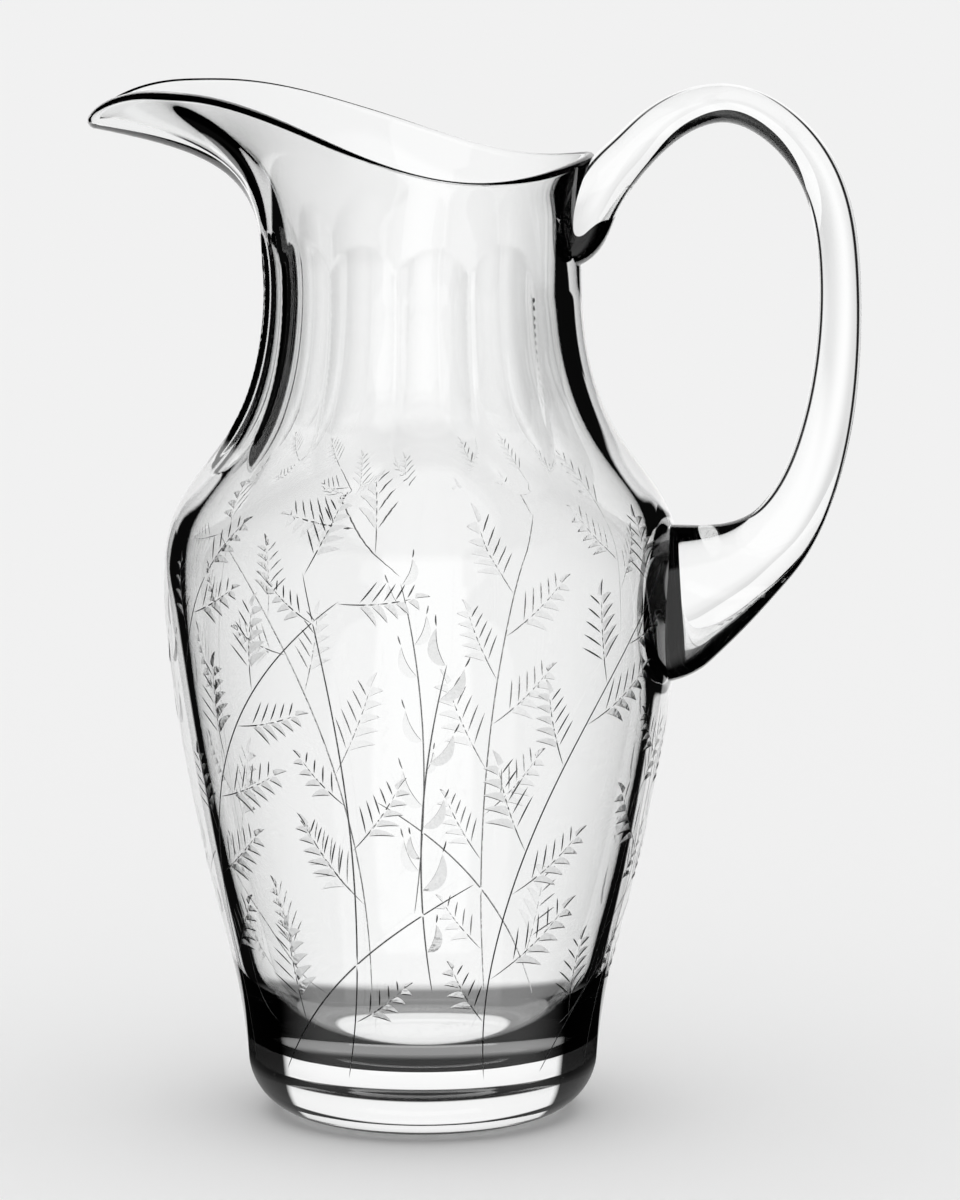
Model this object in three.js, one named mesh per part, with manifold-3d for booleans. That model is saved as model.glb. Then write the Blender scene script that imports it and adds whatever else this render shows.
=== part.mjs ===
// A cut-glass pitcher: a blown body with flat panels cut round its neck, and a drawn glass handle.
// Millimetres, +Z up. The origin is the middle of the foot, the spout points along -X and
// the handle along +X.
import * as THREE from 'three';
import { mergeVertices } from 'three/addons/utils/BufferGeometryUtils.js';
import loadManifold from 'manifold-3d';

const wasm = await loadManifold();
wasm.setup();

// Driving dimensions of the wall's outline, from the foot up to the neck
const FOOT_RADIUS = 41.5;
const FOOT_CORNER = 11;
const LOWER_WALL_RADIUS = 49.7;
const LOWER_WALL_HEIGHT = 51;
const UPPER_WALL_RADIUS = 57.4;
const UPPER_WALL_HEIGHT = 87;
const BELLY_RADIUS = 62.2;
const BELLY_HEIGHT = 126;
const SHOULDER_RADIUS = 60;
const SHOULDER_HEIGHT = 145.5;
const SLOPE_RADIUS = 47.8;
const SLOPE_HEIGHT = 164;
const NECK_FOOT_RADIUS = 40.2;
const NECK_FOOT_HEIGHT = 183;
const NECK_RADIUS = 38.3;
const NECK_HEIGHT = 199;
const NECK_AHEAD = 13;

// Driving dimensions of the glass's thickness
const BASE_THICKNESS = 16;
const FLOOR_CORNER = 17;
const BELLY_WALL = 5.5;
const NECK_WALL = 6.2;
const LIP_WALL = 4;

// Driving dimensions of the mouth: in plan, two circles joined by straight sides
const RIM_RADIUS = 41.2;
const SPOUT_REACH = 80;
const SPOUT_TIP_RADIUS = 12.5;
const RIM_BACK_HEIGHT = 232;
const RIM_LOW_HEIGHT = 228.5;
const RIM_LOW_X = 22;
const RIM_CREST_HEIGHT = 245.5;
const RIM_CREST_X = -54;
const SPOUT_TIP_HEIGHT = 238;

// How the mouth flares: how far the neck rises straight, and where the flare takes over
const MOUTH_RISE_SHARE = 0.68;
const MOUTH_FLARE_SHARE = 0.27;
const MOUTH_FLARE_DROP = 7.5;

// Driving dimensions of the cut panels, with the plain divisions behind the handle
const PANEL_DIVISIONS = 14;
const PANELS_LEFT_PLAIN = 3;
const PANEL_BOTTOM = 158;
const PANEL_TOP = 215;
const PANEL_DEPTH = 1.35;

// Driving dimensions of the handle, whose middle line lies in the XZ plane
const HANDLE_REACH = 100.3;
const HANDLE_TOP = 246.3;
const GRIP_HALF_THICKNESS = 5;
const GRIP_HALF_WIDTH = 6.6;
const UPPER_END_BELOW_RIM = 10.5;
const UPPER_END_HALF_HEIGHT = 12.5;
const UPPER_END_HALF_WIDTH = 11;
const LOWER_END_HEIGHT = 124.5;
const LOWER_END_HALF_HEIGHT = 20;
const LOWER_END_HALF_WIDTH = 13;
const BOND_GAP = 0.3;

// Fineness of the facets
const MERIDIANS = 64;
const WALL_STEPS = 21;
const INSIDE_STEPS = 14;
const MOUTH_STEPS = 8;
const LIP_STEPS = 4;
const CORNER_STEPS = 5;
const HANDLE_STEPS = 40;
const HANDLE_SIDES = 20;

const SPOUT_ANGLE = Math.PI;
const { lerp, clamp } = THREE.MathUtils;

function smoothstep(t) {
  const c = clamp(t, 0, 1);
  return c * c * (3 - 2 * c);
}

// The wall's outline as a curve in (radius, height). The last point only sets the direction
// in which the neck goes on.
const wallPoints = [
  [FOOT_RADIUS, FOOT_CORNER],
  [LOWER_WALL_RADIUS, LOWER_WALL_HEIGHT],
  [UPPER_WALL_RADIUS, UPPER_WALL_HEIGHT],
  [BELLY_RADIUS, BELLY_HEIGHT],
  [SHOULDER_RADIUS, SHOULDER_HEIGHT],
  [SLOPE_RADIUS, SLOPE_HEIGHT],
  [NECK_FOOT_RADIUS, NECK_FOOT_HEIGHT],
  [NECK_RADIUS, NECK_HEIGHT],
  [NECK_RADIUS, NECK_HEIGHT + NECK_AHEAD],
];
const wallCurve = new THREE.CatmullRomCurve3(
  wallPoints.map(([r, z]) => new THREE.Vector3(r, 0, z)),
  false,
  'centripetal',
);
const NECK_SHARE = (wallPoints.length - 2) / (wallPoints.length - 1);

// Distance from the axis to the mouth's plan outline in the direction angle
function mouthRadius(angle) {
  const tipCentre = SPOUT_REACH - SPOUT_TIP_RADIUS;
  const lean = Math.asin((RIM_RADIUS - SPOUT_TIP_RADIUS) / tipCentre);
  const off = Math.abs(Math.atan2(Math.sin(angle - SPOUT_ANGLE), Math.cos(angle - SPOUT_ANGLE)));
  const tipEnd = Math.atan2(
    SPOUT_TIP_RADIUS * Math.cos(lean),
    tipCentre + SPOUT_TIP_RADIUS * Math.sin(lean),
  );
  if (off <= tipEnd) {
    const across = tipCentre * Math.sin(off);
    return tipCentre * Math.cos(off) + Math.sqrt(SPOUT_TIP_RADIUS ** 2 - across ** 2);
  }
  if (off <= Math.PI / 2 - lean) return RIM_RADIUS / Math.cos(Math.PI / 2 - lean - off);
  return RIM_RADIUS;
}

// Height of the rim's outer edge at a place along the spout-to-handle line
function rimHeight(x) {
  const rise = smoothstep((RIM_LOW_X - x) / (RIM_LOW_X - RIM_CREST_X));
  const back = Math.max(0, (x - RIM_LOW_X) / (RIM_RADIUS - RIM_LOW_X));
  const front = Math.max(0, (RIM_CREST_X - x) / (RIM_CREST_X + SPOUT_REACH));
  return RIM_LOW_HEIGHT
    + (RIM_CREST_HEIGHT - RIM_LOW_HEIGHT) * rise
    + (RIM_BACK_HEIGHT - RIM_LOW_HEIGHT) * back ** 2
    - (RIM_CREST_HEIGHT - SPOUT_TIP_HEIGHT) * front ** 2;
}

// The mouth's outline from neck to rim in the direction angle, as a curve in (radius, height)
function mouthCurve(angle) {
  const radius = mouthRadius(angle);
  const height = rimHeight(radius * Math.cos(angle));
  const start = wallCurve.getPoint(NECK_SHARE);
  const upward = wallCurve.getTangent(NECK_SHARE);
  const flareRadius = lerp(NECK_RADIUS, radius, MOUTH_FLARE_SHARE);
  return new THREE.CubicBezierCurve3(
    start,
    start.clone().addScaledVector(upward, MOUTH_RISE_SHARE * (height - NECK_HEIGHT)),
    new THREE.Vector3(flareRadius, 0, height - MOUTH_FLARE_DROP),
    new THREE.Vector3(radius, 0, height),
  );
}

// A point on the body's outside. Its level runs from 0 at the top of the foot's corner over 1
// at the neck to 2 at the rim.
function outside(angle, level) {
  const p = level <= 1
    ? wallCurve.getPoint(level * NECK_SHARE)
    : mouthCurve(angle).getPoint(level - 1);
  return new THREE.Vector3(p.x * Math.cos(angle), p.x * Math.sin(angle), p.z);
}

// Unit directions on the outside: along the outline upwards, and out of the glass
function outsideFrame(angle, level) {
  const step = 1e-4;
  const low = clamp(level - step, 0, 2 - 2 * step);
  const along = outside(angle, low + 2 * step).sub(outside(angle, low)).normalize();
  const round = outside(angle + step, level).sub(outside(angle - step, level)).normalize();
  return { along, out: round.clone().cross(along).normalize() };
}

function wallThickness(level) {
  if (level > 1) return lerp(NECK_WALL, LIP_WALL, level - 1);
  const height = wallCurve.getPoint(level * NECK_SHARE).z;
  const share = smoothstep((height - BELLY_HEIGHT) / (NECK_HEIGHT - BELLY_HEIGHT));
  return lerp(BELLY_WALL, NECK_WALL, share);
}

function inside(angle, level) {
  const { out } = outsideFrame(angle, level);
  return outside(angle, level).addScaledVector(out, -wallThickness(level));
}

// Levels of the rings of facets, the same for the wall and for what is cut out of it
function levels(wallSteps) {
  const wall = Array.from({ length: wallSteps }, (_, i) => (i + 1) / wallSteps);
  const mouth = Array.from({ length: MOUTH_STEPS }, (_, i) => 1 + (i + 1) / MOUTH_STEPS);
  return [...wall, ...mouth];
}

// Directions of the meridians, evenly spaced along the rim so that the spout gets its share
function meridianAngles() {
  const fine = 2880;
  const lengths = [0];
  const at = (i) => outside((2 * Math.PI * i) / fine, 2);
  for (let i = 1; i <= fine; i += 1) lengths.push(lengths[i - 1] + at(i).distanceTo(at(i - 1)));
  const found = [];
  let i = 0;
  for (let k = 0; k < MERIDIANS; k += 1) {
    const wanted = (lengths[fine] * k) / MERIDIANS;
    while (lengths[i + 1] <= wanted) i += 1;
    const part = (wanted - lengths[i]) / (lengths[i + 1] - lengths[i]);
    found.push((2 * Math.PI * (i + part)) / fine);
  }
  return found;
}
const angles = meridianAngles();

// A closed skin over rings with equal numbers of points, with one point at each end
function skin(first, rings, last) {
  const count = rings[0].length;
  const points = [first, ...rings.flat(), last];
  const index = [];
  const at = (ring, k) => 1 + ring * count + (k % count);
  for (let k = 0; k < count; k += 1) {
    index.push(0, at(0, k + 1), at(0, k));
    index.push(points.length - 1, at(rings.length - 1, k), at(rings.length - 1, k + 1));
    for (let ring = 0; ring + 1 < rings.length; ring += 1) {
      index.push(at(ring, k), at(ring, k + 1), at(ring + 1, k + 1));
      index.push(at(ring, k), at(ring + 1, k + 1), at(ring + 1, k));
    }
  }
  const places = points.flatMap((p) => p.toArray());
  const geometry = new THREE.BufferGeometry();
  geometry.setAttribute('position', new THREE.Float32BufferAttribute(places, 3));
  geometry.setIndex(index);
  return geometry;
}

function toSolid(geometry) {
  const bare = geometry.clone();
  bare.deleteAttribute('normal');
  bare.deleteAttribute('uv');
  const merged = mergeVertices(bare, 1e-4);
  return new wasm.Manifold(new wasm.Mesh({
    numProp: 3,
    vertProperties: new Float32Array(merged.attributes.position.array),
    triVerts: new Uint32Array(merged.index.array),
  }));
}

function toGeometry(solid) {
  const mesh = solid.getMesh();
  const places = new Float32Array(mesh.vertProperties);
  const geometry = new THREE.BufferGeometry();
  geometry.setAttribute('position', new THREE.BufferAttribute(places, 3));
  geometry.setIndex(new THREE.BufferAttribute(new Uint32Array(mesh.triVerts), 1));
  geometry.computeVertexNormals();
  return geometry;
}

function flatRing(radius, height) {
  return angles.map((a) => new THREE.Vector3(radius * Math.cos(a), radius * Math.sin(a), height));
}

// Rings of a quarter round from a flat up to the wall beside it, both ends included
function cornerRings(flatRadius, flatHeight, wide, high) {
  return Array.from({ length: CORNER_STEPS + 1 }, (_, i) => {
    const turn = (Math.PI / 2) * (i / CORNER_STEPS);
    return flatRing(flatRadius + wide * Math.sin(turn), flatHeight + high * (1 - Math.cos(turn)));
  });
}

function outsideRings() {
  const corner = cornerRings(FOOT_RADIUS - FOOT_CORNER, 0, FOOT_CORNER, FOOT_CORNER);
  const wall = levels(WALL_STEPS).map((level) => angles.map((a) => outside(a, level)));
  return [...corner, ...wall];
}

// The rim's half round, from the outer edge to the inner edge without either
function lipRings() {
  const half = LIP_WALL / 2;
  return Array.from({ length: LIP_STEPS - 1 }, (_, i) => {
    const turn = (Math.PI * (i + 1)) / LIP_STEPS;
    return angles.map((a) => {
      const { along, out } = outsideFrame(a, 2);
      return outside(a, 2)
        .addScaledVector(out, half * (Math.cos(turn) - 1))
        .addScaledVector(along, half * Math.sin(turn));
    });
  });
}

// The inside from the rim down to the floor, whose corner starts where the wall comes near it
function insideRings() {
  const cornerTop = BASE_THICKNESS + FLOOR_CORNER;
  const used = levels(INSIDE_STEPS).filter((level) => inside(0, level).z > cornerTop).reverse();
  const wall = used.map((level) => angles.map((a) => inside(a, level)));
  const end = inside(0, used.at(-1));
  const corner = cornerRings(end.x - FLOOR_CORNER, BASE_THICKNESS, FLOOR_CORNER, end.z - BASE_THICKNESS);
  return [...wall, ...corner.reverse().slice(1)];
}

// Level on the outside at which the meridian in the direction angle has the given height
function levelAt(angle, height) {
  let low = 0;
  let high = 2;
  for (let i = 0; i < 40; i += 1) {
    const middle = (low + high) / 2;
    if (outside(angle, middle).z < height) low = middle;
    else high = middle;
  }
  return (low + high) / 2;
}

// What the wheel takes away for one flat panel: a bar across the neck whose inner side follows
// the neck's outline, at a depth that runs out at both ends
function panelCutter(angle) {
  const overrun = 1.06;
  const middle = (PANEL_TOP + PANEL_BOTTOM) / 2;
  const half = (PANEL_TOP - PANEL_BOTTOM) / 2;
  const from = levelAt(angle, middle - half * overrun);
  const to = levelAt(angle, middle + half * overrun);
  const between = levels(WALL_STEPS).filter((level) => level > from && level < to);
  const side = [from, ...between, to].map((level) => {
    const surface = outside(angle, level);
    const share = (surface.z - middle) / half;
    const radius = Math.hypot(surface.x, surface.y) - PANEL_DEPTH * (1 - share ** 4);
    return new THREE.Vector2(radius, surface.z);
  });
  const clear = 2 * SPOUT_REACH;
  const outline = new THREE.Shape([
    ...side,
    new THREE.Vector2(clear, side.at(-1).y),
    new THREE.Vector2(clear, side[0].y),
  ]);
  const width = 3.2 * NECK_RADIUS * Math.tan(Math.PI / PANEL_DIVISIONS);
  const bar = new THREE.ExtrudeGeometry(outline, { depth: width, bevelEnabled: false });
  bar.translate(0, 0, -width / 2);
  bar.rotateX(Math.PI / 2);
  bar.rotateZ(angle);
  return toSolid(bar);
}

function bodyGeometry() {
  const rings = [...outsideRings(), ...lipRings(), ...insideRings()];
  const floor = new THREE.Vector3(0, 0, BASE_THICKNESS);
  let solid = toSolid(skin(new THREE.Vector3(), rings, floor));
  const cutCount = PANEL_DIVISIONS - PANELS_LEFT_PLAIN;
  for (let k = 0; k < cutCount; k += 1) {
    const turn = (2 * Math.PI * (k - (cutCount - 1) / 2)) / PANEL_DIVISIONS;
    solid = solid.subtract(panelCutter(SPOUT_ANGLE + turn));
  }
  return toGeometry(solid);
}

// The filled body, grown by the gap and carried on upwards over the mouth: the handle ends on it
function handleLimit() {
  const top = 1.2 * HANDLE_TOP;
  const rings = levels(WALL_STEPS).map((level) => angles.map((a) => {
    const { out } = outsideFrame(a, level);
    return outside(a, level).addScaledVector(out, BOND_GAP);
  }));
  rings.push(rings.at(-1).map((p) => new THREE.Vector3(p.x, p.y, top)));
  const foot = new THREE.Vector3(0, 0, rings[0][0].z);
  return toSolid(skin(foot, rings, new THREE.Vector3(0, 0, top)));
}

// The handle's stations from the neck over the grip to the belly: [x, z, half thickness in the
// plane of the loop, half width across it]. Both ends start inside the wall and are cut back to it.
function handleStations() {
  const upperEnd = RIM_BACK_HEIGHT - UPPER_END_BELOW_RIM;
  const fromNeck = (share) => lerp(NECK_RADIUS, HANDLE_REACH, share);
  const fromBelly = (share) => lerp(BELLY_RADIUS, HANDLE_REACH, share);
  const height = (share) => lerp(LOWER_END_HEIGHT, HANDLE_TOP, share);
  const thick = GRIP_HALF_THICKNESS;
  const wide = GRIP_HALF_WIDTH;
  return [
    [fromNeck(-0.05), upperEnd, UPPER_END_HALF_HEIGHT, UPPER_END_HALF_WIDTH],
    [fromNeck(0.105), lerp(upperEnd, HANDLE_TOP, 0.24), 1.6 * thick, 1.25 * wide],
    [fromNeck(0.3), lerp(upperEnd, HANDLE_TOP, 0.8), 1.08 * thick, 1.06 * wide],
    [fromNeck(0.55), HANDLE_TOP, 0.92 * thick, wide],
    [fromNeck(0.77), height(0.955), 0.94 * thick, wide],
    [fromNeck(0.93), height(0.85), 0.98 * thick, wide],
    [HANDLE_REACH, height(0.67), thick, wide],
    [fromBelly(0.99), height(0.505), thick, wide],
    [fromBelly(0.905), height(0.34), 1.12 * thick, 1.05 * wide],
    [fromBelly(0.727), height(0.195), 1.44 * thick, 1.15 * wide],
    [fromBelly(0.46), height(0.086), 2 * thick, 1.36 * wide],
    [fromBelly(0.157), height(0.016), 0.8 * LOWER_END_HALF_HEIGHT, 0.88 * LOWER_END_HALF_WIDTH],
    [fromBelly(-0.13), LOWER_END_HEIGHT, LOWER_END_HALF_HEIGHT, LOWER_END_HALF_WIDTH],
  ];
}

function handleGeometry() {
  const stations = handleStations();
  const places = stations.map(([x, z]) => new THREE.Vector3(x, 0, z));
  const middleLine = new THREE.CatmullRomCurve3(places, false, 'centripetal');
  const halves = stations.map(([, , thick, wide]) => new THREE.Vector3(thick, wide, 0));
  const sizes = new THREE.CatmullRomCurve3(halves);
  const across = new THREE.Vector3(0, -1, 0);
  const rings = Array.from({ length: HANDLE_STEPS + 1 }, (_, i) => {
    const share = i / HANDLE_STEPS;
    const centre = middleLine.getPoint(share);
    const forward = middleLine.getTangent(share);
    const up = new THREE.Vector3(-forward.z, 0, forward.x);
    const size = sizes.getPoint(share);
    return Array.from({ length: HANDLE_SIDES }, (__, k) => {
      const turn = (2 * Math.PI * k) / HANDLE_SIDES;
      return centre.clone()
        .addScaledVector(up, size.x * Math.cos(turn))
        .addScaledVector(across, size.y * Math.sin(turn));
    });
  });
  const rod = skin(middleLine.getPoint(0), rings, middleLine.getPoint(1));
  return toGeometry(toSolid(rod).subtract(handleLimit()));
}

function crystal() {
  return new THREE.MeshStandardMaterial({
    color: 0xf2f4f4,
    roughness: 0.03,
    metalness: 0,
    transparent: true,
    opacity: 0.35,
  });
}

function named(name, geometry) {
  const mesh = new THREE.Mesh(geometry, crystal());
  mesh.name = name;
  return mesh;
}

const pitcher = new THREE.Group();
pitcher.add(named('glass_body', bodyGeometry()));
pitcher.add(named('handle', handleGeometry()));

export default pitcher;
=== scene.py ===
# %% [markdown]
# # A cut-glass pitcher
#
# This lesson makes the looks of a clear, heavy glass pitcher: a blown body with flat panels cut
# round its neck, leaf sprays cut into its belly by small wheels, and a handle drawn from a rod of
# hot glass. Clear glass has hardly a colour of its own. What the eye sees is how the walls bend
# and throw back the white room, so nearly all the work goes into exact surfaces. Each surface is
# worked out with numpy as a function of two numbers, in millimetres, and scaled to metres when it
# becomes a mesh.

# %% Load the frame and keep its size
import math

import bpy
import numpy as np
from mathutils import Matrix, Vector
from mathutils.geometry import delaunay_2d_cdt


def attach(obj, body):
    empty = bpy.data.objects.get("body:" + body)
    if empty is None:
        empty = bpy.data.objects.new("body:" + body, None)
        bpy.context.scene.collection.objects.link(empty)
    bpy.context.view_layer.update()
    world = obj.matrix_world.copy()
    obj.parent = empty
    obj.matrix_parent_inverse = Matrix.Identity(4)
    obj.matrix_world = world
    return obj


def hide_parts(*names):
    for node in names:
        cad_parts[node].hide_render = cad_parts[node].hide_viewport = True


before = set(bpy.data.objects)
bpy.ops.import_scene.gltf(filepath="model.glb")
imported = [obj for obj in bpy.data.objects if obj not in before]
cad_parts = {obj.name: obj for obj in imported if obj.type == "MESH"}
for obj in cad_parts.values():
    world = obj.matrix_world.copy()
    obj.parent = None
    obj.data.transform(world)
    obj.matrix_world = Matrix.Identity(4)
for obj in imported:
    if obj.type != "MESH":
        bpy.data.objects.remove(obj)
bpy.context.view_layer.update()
MM = 0.001
scene = bpy.context.scene
scene.view_settings.view_transform = "Standard"

# %% [markdown]
# ## The camera
#
# The photograph was taken from a little above the rim and almost square to the handle. A long
# lens from nearly two metres keeps both sides of the pitcher upright, as in a product picture.
# The picture is upright, so the sensor's 36 mm lie along its height.

# %% Place the camera
CAMERA_TURN = math.radians(9)
CAMERA_DISTANCE = 1.75
CAMERA_HEIGHT = 0.416
AIM_HEIGHT = 0.125
AIM_ASIDE = 0.0139
LENS = 220.9

side_way = Vector((math.cos(CAMERA_TURN), math.sin(CAMERA_TURN), 0))
front_way = Vector((math.sin(CAMERA_TURN), -math.cos(CAMERA_TURN), 0))
eye = front_way * CAMERA_DISTANCE + Vector((0, 0, CAMERA_HEIGHT))
aim = side_way * AIM_ASIDE + Vector((0, 0, AIM_HEIGHT))
camera_data = bpy.data.cameras.new("studio_camera")
camera_data.lens = LENS
camera_data.sensor_width = 36
camera = bpy.data.objects.new("studio_camera", camera_data)
camera.location = eye
camera.rotation_euler = (aim - eye).to_track_quat("-Z", "Y").to_euler()
scene.collection.objects.link(camera)
scene.camera = camera
print("camera stands", round((aim - eye).length, 3), "m from what it looks at")

# %% [markdown]
# ## The outline of the wall
#
# A glassblower turns the body on the pipe, so its wall is one smooth line carried round an axis.
# The line goes through a few measured places. Glass shows every break in curvature as a kink in
# the lines behind it, so a cubic spline is used: its slope and its curvature both run on without
# a jump.


# %% A smooth curve through points
def smooth_curve(points):
    """Cubic spline through points: between two points each coordinate is a cubic whose second
    derivative is shared with the next piece and is nought at the ends. Returns a function of the
    share 0 to 1 of the summed distances between the points, and those shares."""
    places = np.asarray(points, float)
    steps = np.linalg.norm(np.diff(places, axis=0), axis=1)
    knots = np.concatenate([[0.0], np.cumsum(steps)])
    count = len(places)
    matrix = np.eye(count)
    rest = np.zeros_like(places)
    inner = np.arange(1, count - 1)
    matrix[inner, inner - 1] = steps[:-1] / 6
    matrix[inner, inner] = (steps[:-1] + steps[1:]) / 3
    matrix[inner, inner + 1] = steps[1:] / 6
    slopes = np.diff(places, axis=0) / steps[:, None]
    rest[1:-1] = slopes[1:] - slopes[:-1]
    bends = np.linalg.solve(matrix, rest)

    def at(share):
        s = np.asarray(share, float) * knots[-1]
        k = np.clip(np.searchsorted(knots, s, side="right") - 1, 0, count - 2)
        h = steps[k][..., None]
        a = (knots[k + 1] - s)[..., None]
        b = (s - knots[k])[..., None]
        cubic = (bends[k] * a**3 + bends[k + 1] * b**3) / (6 * h)
        return (cubic + (places[k] / h - bends[k] * h / 6) * a
                + (places[k + 1] / h - bends[k + 1] * h / 6) * b)

    return at, knots / knots[-1]


FOOT_FLAT = 27.88
FOOT_CORNER = 14.5
FOOT_LEAN = math.radians(6.0)
NECK_RADIUS = 38.3
NECK_HEIGHT = 199.0
BELLY_RADIUS = 62.06
BELLY_HEIGHT = 126.0
corner_end = (
    FOOT_FLAT + FOOT_CORNER * math.cos(FOOT_LEAN),
    FOOT_CORNER * (1 - math.sin(FOOT_LEAN)),
)
wall_at, wall_knots = smooth_curve([
    corner_end,
    (44.7, 30.5),
    (49.7, 51.0),
    (57.4, 87.0),
    (BELLY_RADIUS, BELLY_HEIGHT),
    (60.0, 145.5),
    (47.8, 164.0),
    (40.2, 183.0),
    (NECK_RADIUS, NECK_HEIGHT),
    (NECK_RADIUS, NECK_HEIGHT + 13.0),
])
NECK_SHARE = wall_knots[-2]
fine_wall = wall_at(np.linspace(0, NECK_SHARE, 2001))
WALL_LENGTH = np.linalg.norm(np.diff(fine_wall, axis=0), axis=1).sum()
print("wall from foot to neck:", round(WALL_LENGTH, 1), "mm, widest", round(fine_wall[:, 0].max(), 2))

# %% [markdown]
# ## The mouth and the spout
#
# While the glass is still soft, the maker pulls one side of the rim out into a spout. Seen from
# above, the mouth is a large circle and a small one joined by straight sides; seen from the side,
# the rim dips behind the middle and rises to a crest over the spout. Both lines are worked out on
# a fine ring of directions and blurred a little round the ring, because hot glass has no corners.

# %% The rim as a radius and a height for each direction
RIM_RADIUS = 41.2
SPOUT_REACH = 79.8
SPOUT_TIP_RADIUS = 12.5
RIM_BACK_HEIGHT = 232.0
RIM_LOW_HEIGHT = 228.5
RIM_LOW_X = 22.0
RIM_CREST_HEIGHT = 246.5
RIM_CREST_X = -54.0
SPOUT_TIP_HEIGHT = 237.0
RIM_SOFTNESS = math.radians(2.0)
RING = 23040


def smoothstep(value):
    """A rise from 0 to 1 with level ends: 3t^2 - 2t^3 of the value held between 0 and 1."""
    t = np.clip(value, 0, 1)
    return t * t * (3 - 2 * t)


def plan_radius(angle):
    """Distance from the axis to two circles joined by their outer tangents. The large circle is
    about the axis; the small one lies towards the spout, which points along -X."""
    tip_centre = SPOUT_REACH - SPOUT_TIP_RADIUS
    lean = math.asin((RIM_RADIUS - SPOUT_TIP_RADIUS) / tip_centre)
    off = np.abs(np.arctan2(np.sin(angle - math.pi), np.cos(angle - math.pi)))
    tip_end = math.atan2(
        SPOUT_TIP_RADIUS * math.cos(lean), tip_centre + SPOUT_TIP_RADIUS * math.sin(lean))
    across = tip_centre * np.sin(off)
    tip = tip_centre * np.cos(off) + np.sqrt(np.maximum(SPOUT_TIP_RADIUS**2 - across**2, 0))
    straight = RIM_RADIUS / np.maximum(np.cos(math.pi / 2 - lean - off), 0.2)
    return np.where(off <= tip_end, tip, np.where(off <= math.pi / 2 - lean, straight, RIM_RADIUS))


def rim_height(x):
    """Height of the rim by its place between spout and handle: a smooth rise towards the spout,
    a square-law rise towards the handle and a fall by the fourth power at the tip."""
    rise = smoothstep((RIM_LOW_X - x) / (RIM_LOW_X - RIM_CREST_X))
    back = np.maximum(0, (x - RIM_LOW_X) / (RIM_RADIUS - RIM_LOW_X))
    front = np.maximum(0, (RIM_CREST_X - x) / (RIM_CREST_X + SPOUT_REACH))
    return (RIM_LOW_HEIGHT + (RIM_CREST_HEIGHT - RIM_LOW_HEIGHT) * rise
            + (RIM_BACK_HEIGHT - RIM_LOW_HEIGHT) * back**2
            - (RIM_CREST_HEIGHT - SPOUT_TIP_HEIGHT) * front**4)


def blurred(ring):
    """The ring of values with each wave of k turns weakened by exp(-(k * softness)^2 / 2)."""
    waves = np.fft.rfft(ring)
    turns = np.arange(len(waves))
    return np.fft.irfft(waves * np.exp(-0.5 * (turns * RIM_SOFTNESS) ** 2), len(ring))


ring_angles = np.arange(RING) * (2 * math.pi / RING)
ring_radius = blurred(plan_radius(ring_angles))
ring_height = blurred(rim_height(ring_radius * np.cos(ring_angles)))


def on_ring(ring, angle):
    """A ring's value in any direction, by straight lines between its many places."""
    place = np.mod(angle, 2 * math.pi) * (RING / (2 * math.pi))
    return np.interp(place, np.arange(RING + 1), np.append(ring, ring[0]))


print("spout reaches", round(ring_radius.max(), 2), "mm, crest", round(ring_height.max(), 2), "mm high")

# %% [markdown]
# ## One function for the whole outside
#
# Every place on the outside gets two numbers: an angle round the axis and a level. Level 0 is the
# top of the foot's rounded edge, 1 the neck, 2 the outer edge of the rim and 2.5 the crest of its
# round lip. Above the neck the outline is a Bezier curve for each direction, so that the round
# neck turns into the spout without a seam.

# %% The outside surface and its directions
LIP_HALF = 1.15
LIP_TIP_HALF = 1.9
MOUTH_RISE_SHARE = 0.72
MOUTH_FLARE_SHARE = 0.22
MOUTH_FLARE_DROP = 5.5
ROUND_DROP = 3.0
FLANK_DROP = 6.0
neck_point = wall_at(NECK_SHARE)
neck_way = neck_point - wall_at(NECK_SHARE - 1e-4)
neck_way = neck_way / np.linalg.norm(neck_way)


def tip_share(radius):
    """0 on the round part of the rim, growing with the radius to 1 at the spout's tip."""
    return np.clip((radius - RIM_RADIUS) / (SPOUT_REACH - RIM_RADIUS), 0, 1)


def lip_half(angle):
    """Half the lip's thickness: thin round the mouth, thicker by the share's square at the tip."""
    return LIP_HALF + (LIP_TIP_HALF - LIP_HALF) * tip_share(on_ring(ring_radius, angle)) ** 2


def outline(angle, level):
    """Radius and height up to the rim: the wall's spline below level 1, above it a Bezier curve
    from the neck, first along the neck's own direction, then out to the rim."""
    angle, level = np.broadcast_arrays(np.asarray(angle, float), np.asarray(level, float))
    wall = wall_at(np.clip(level, 0, 1) * NECK_SHARE)
    radius = on_ring(ring_radius, angle)
    height = on_ring(ring_height, angle)
    t = np.clip(level - 1, 0, 1.02)
    share = tip_share(radius)
    flank = ROUND_DROP * (1 - share) + FLANK_DROP * 4 * share * (1 - share)
    first = MOUTH_RISE_SHARE * (height - flank - NECK_HEIGHT)
    r1 = neck_point[0] + neck_way[0] * first
    z1 = neck_point[1] + neck_way[1] * first
    r2 = NECK_RADIUS + MOUTH_FLARE_SHARE * (radius - NECK_RADIUS)
    z2 = height - MOUTH_FLARE_DROP - flank
    w0, w1, w2, w3 = (1 - t) ** 3, 3 * t * (1 - t) ** 2, 3 * t * t * (1 - t), t**3
    mouth_r = w0 * neck_point[0] + w1 * r1 + w2 * r2 + w3 * radius
    mouth_z = w0 * neck_point[1] + w1 * z1 + w2 * z2 + w3 * height
    high = level > 1
    return np.where(high, mouth_r, wall[..., 0]), np.where(high, mouth_z, wall[..., 1])


def turned(radius, angle, height):
    """Points at a radius, an angle round the axis and a height."""
    return np.stack(
        np.broadcast_arrays(radius * np.cos(angle), radius * np.sin(angle), height), axis=-1)


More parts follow.
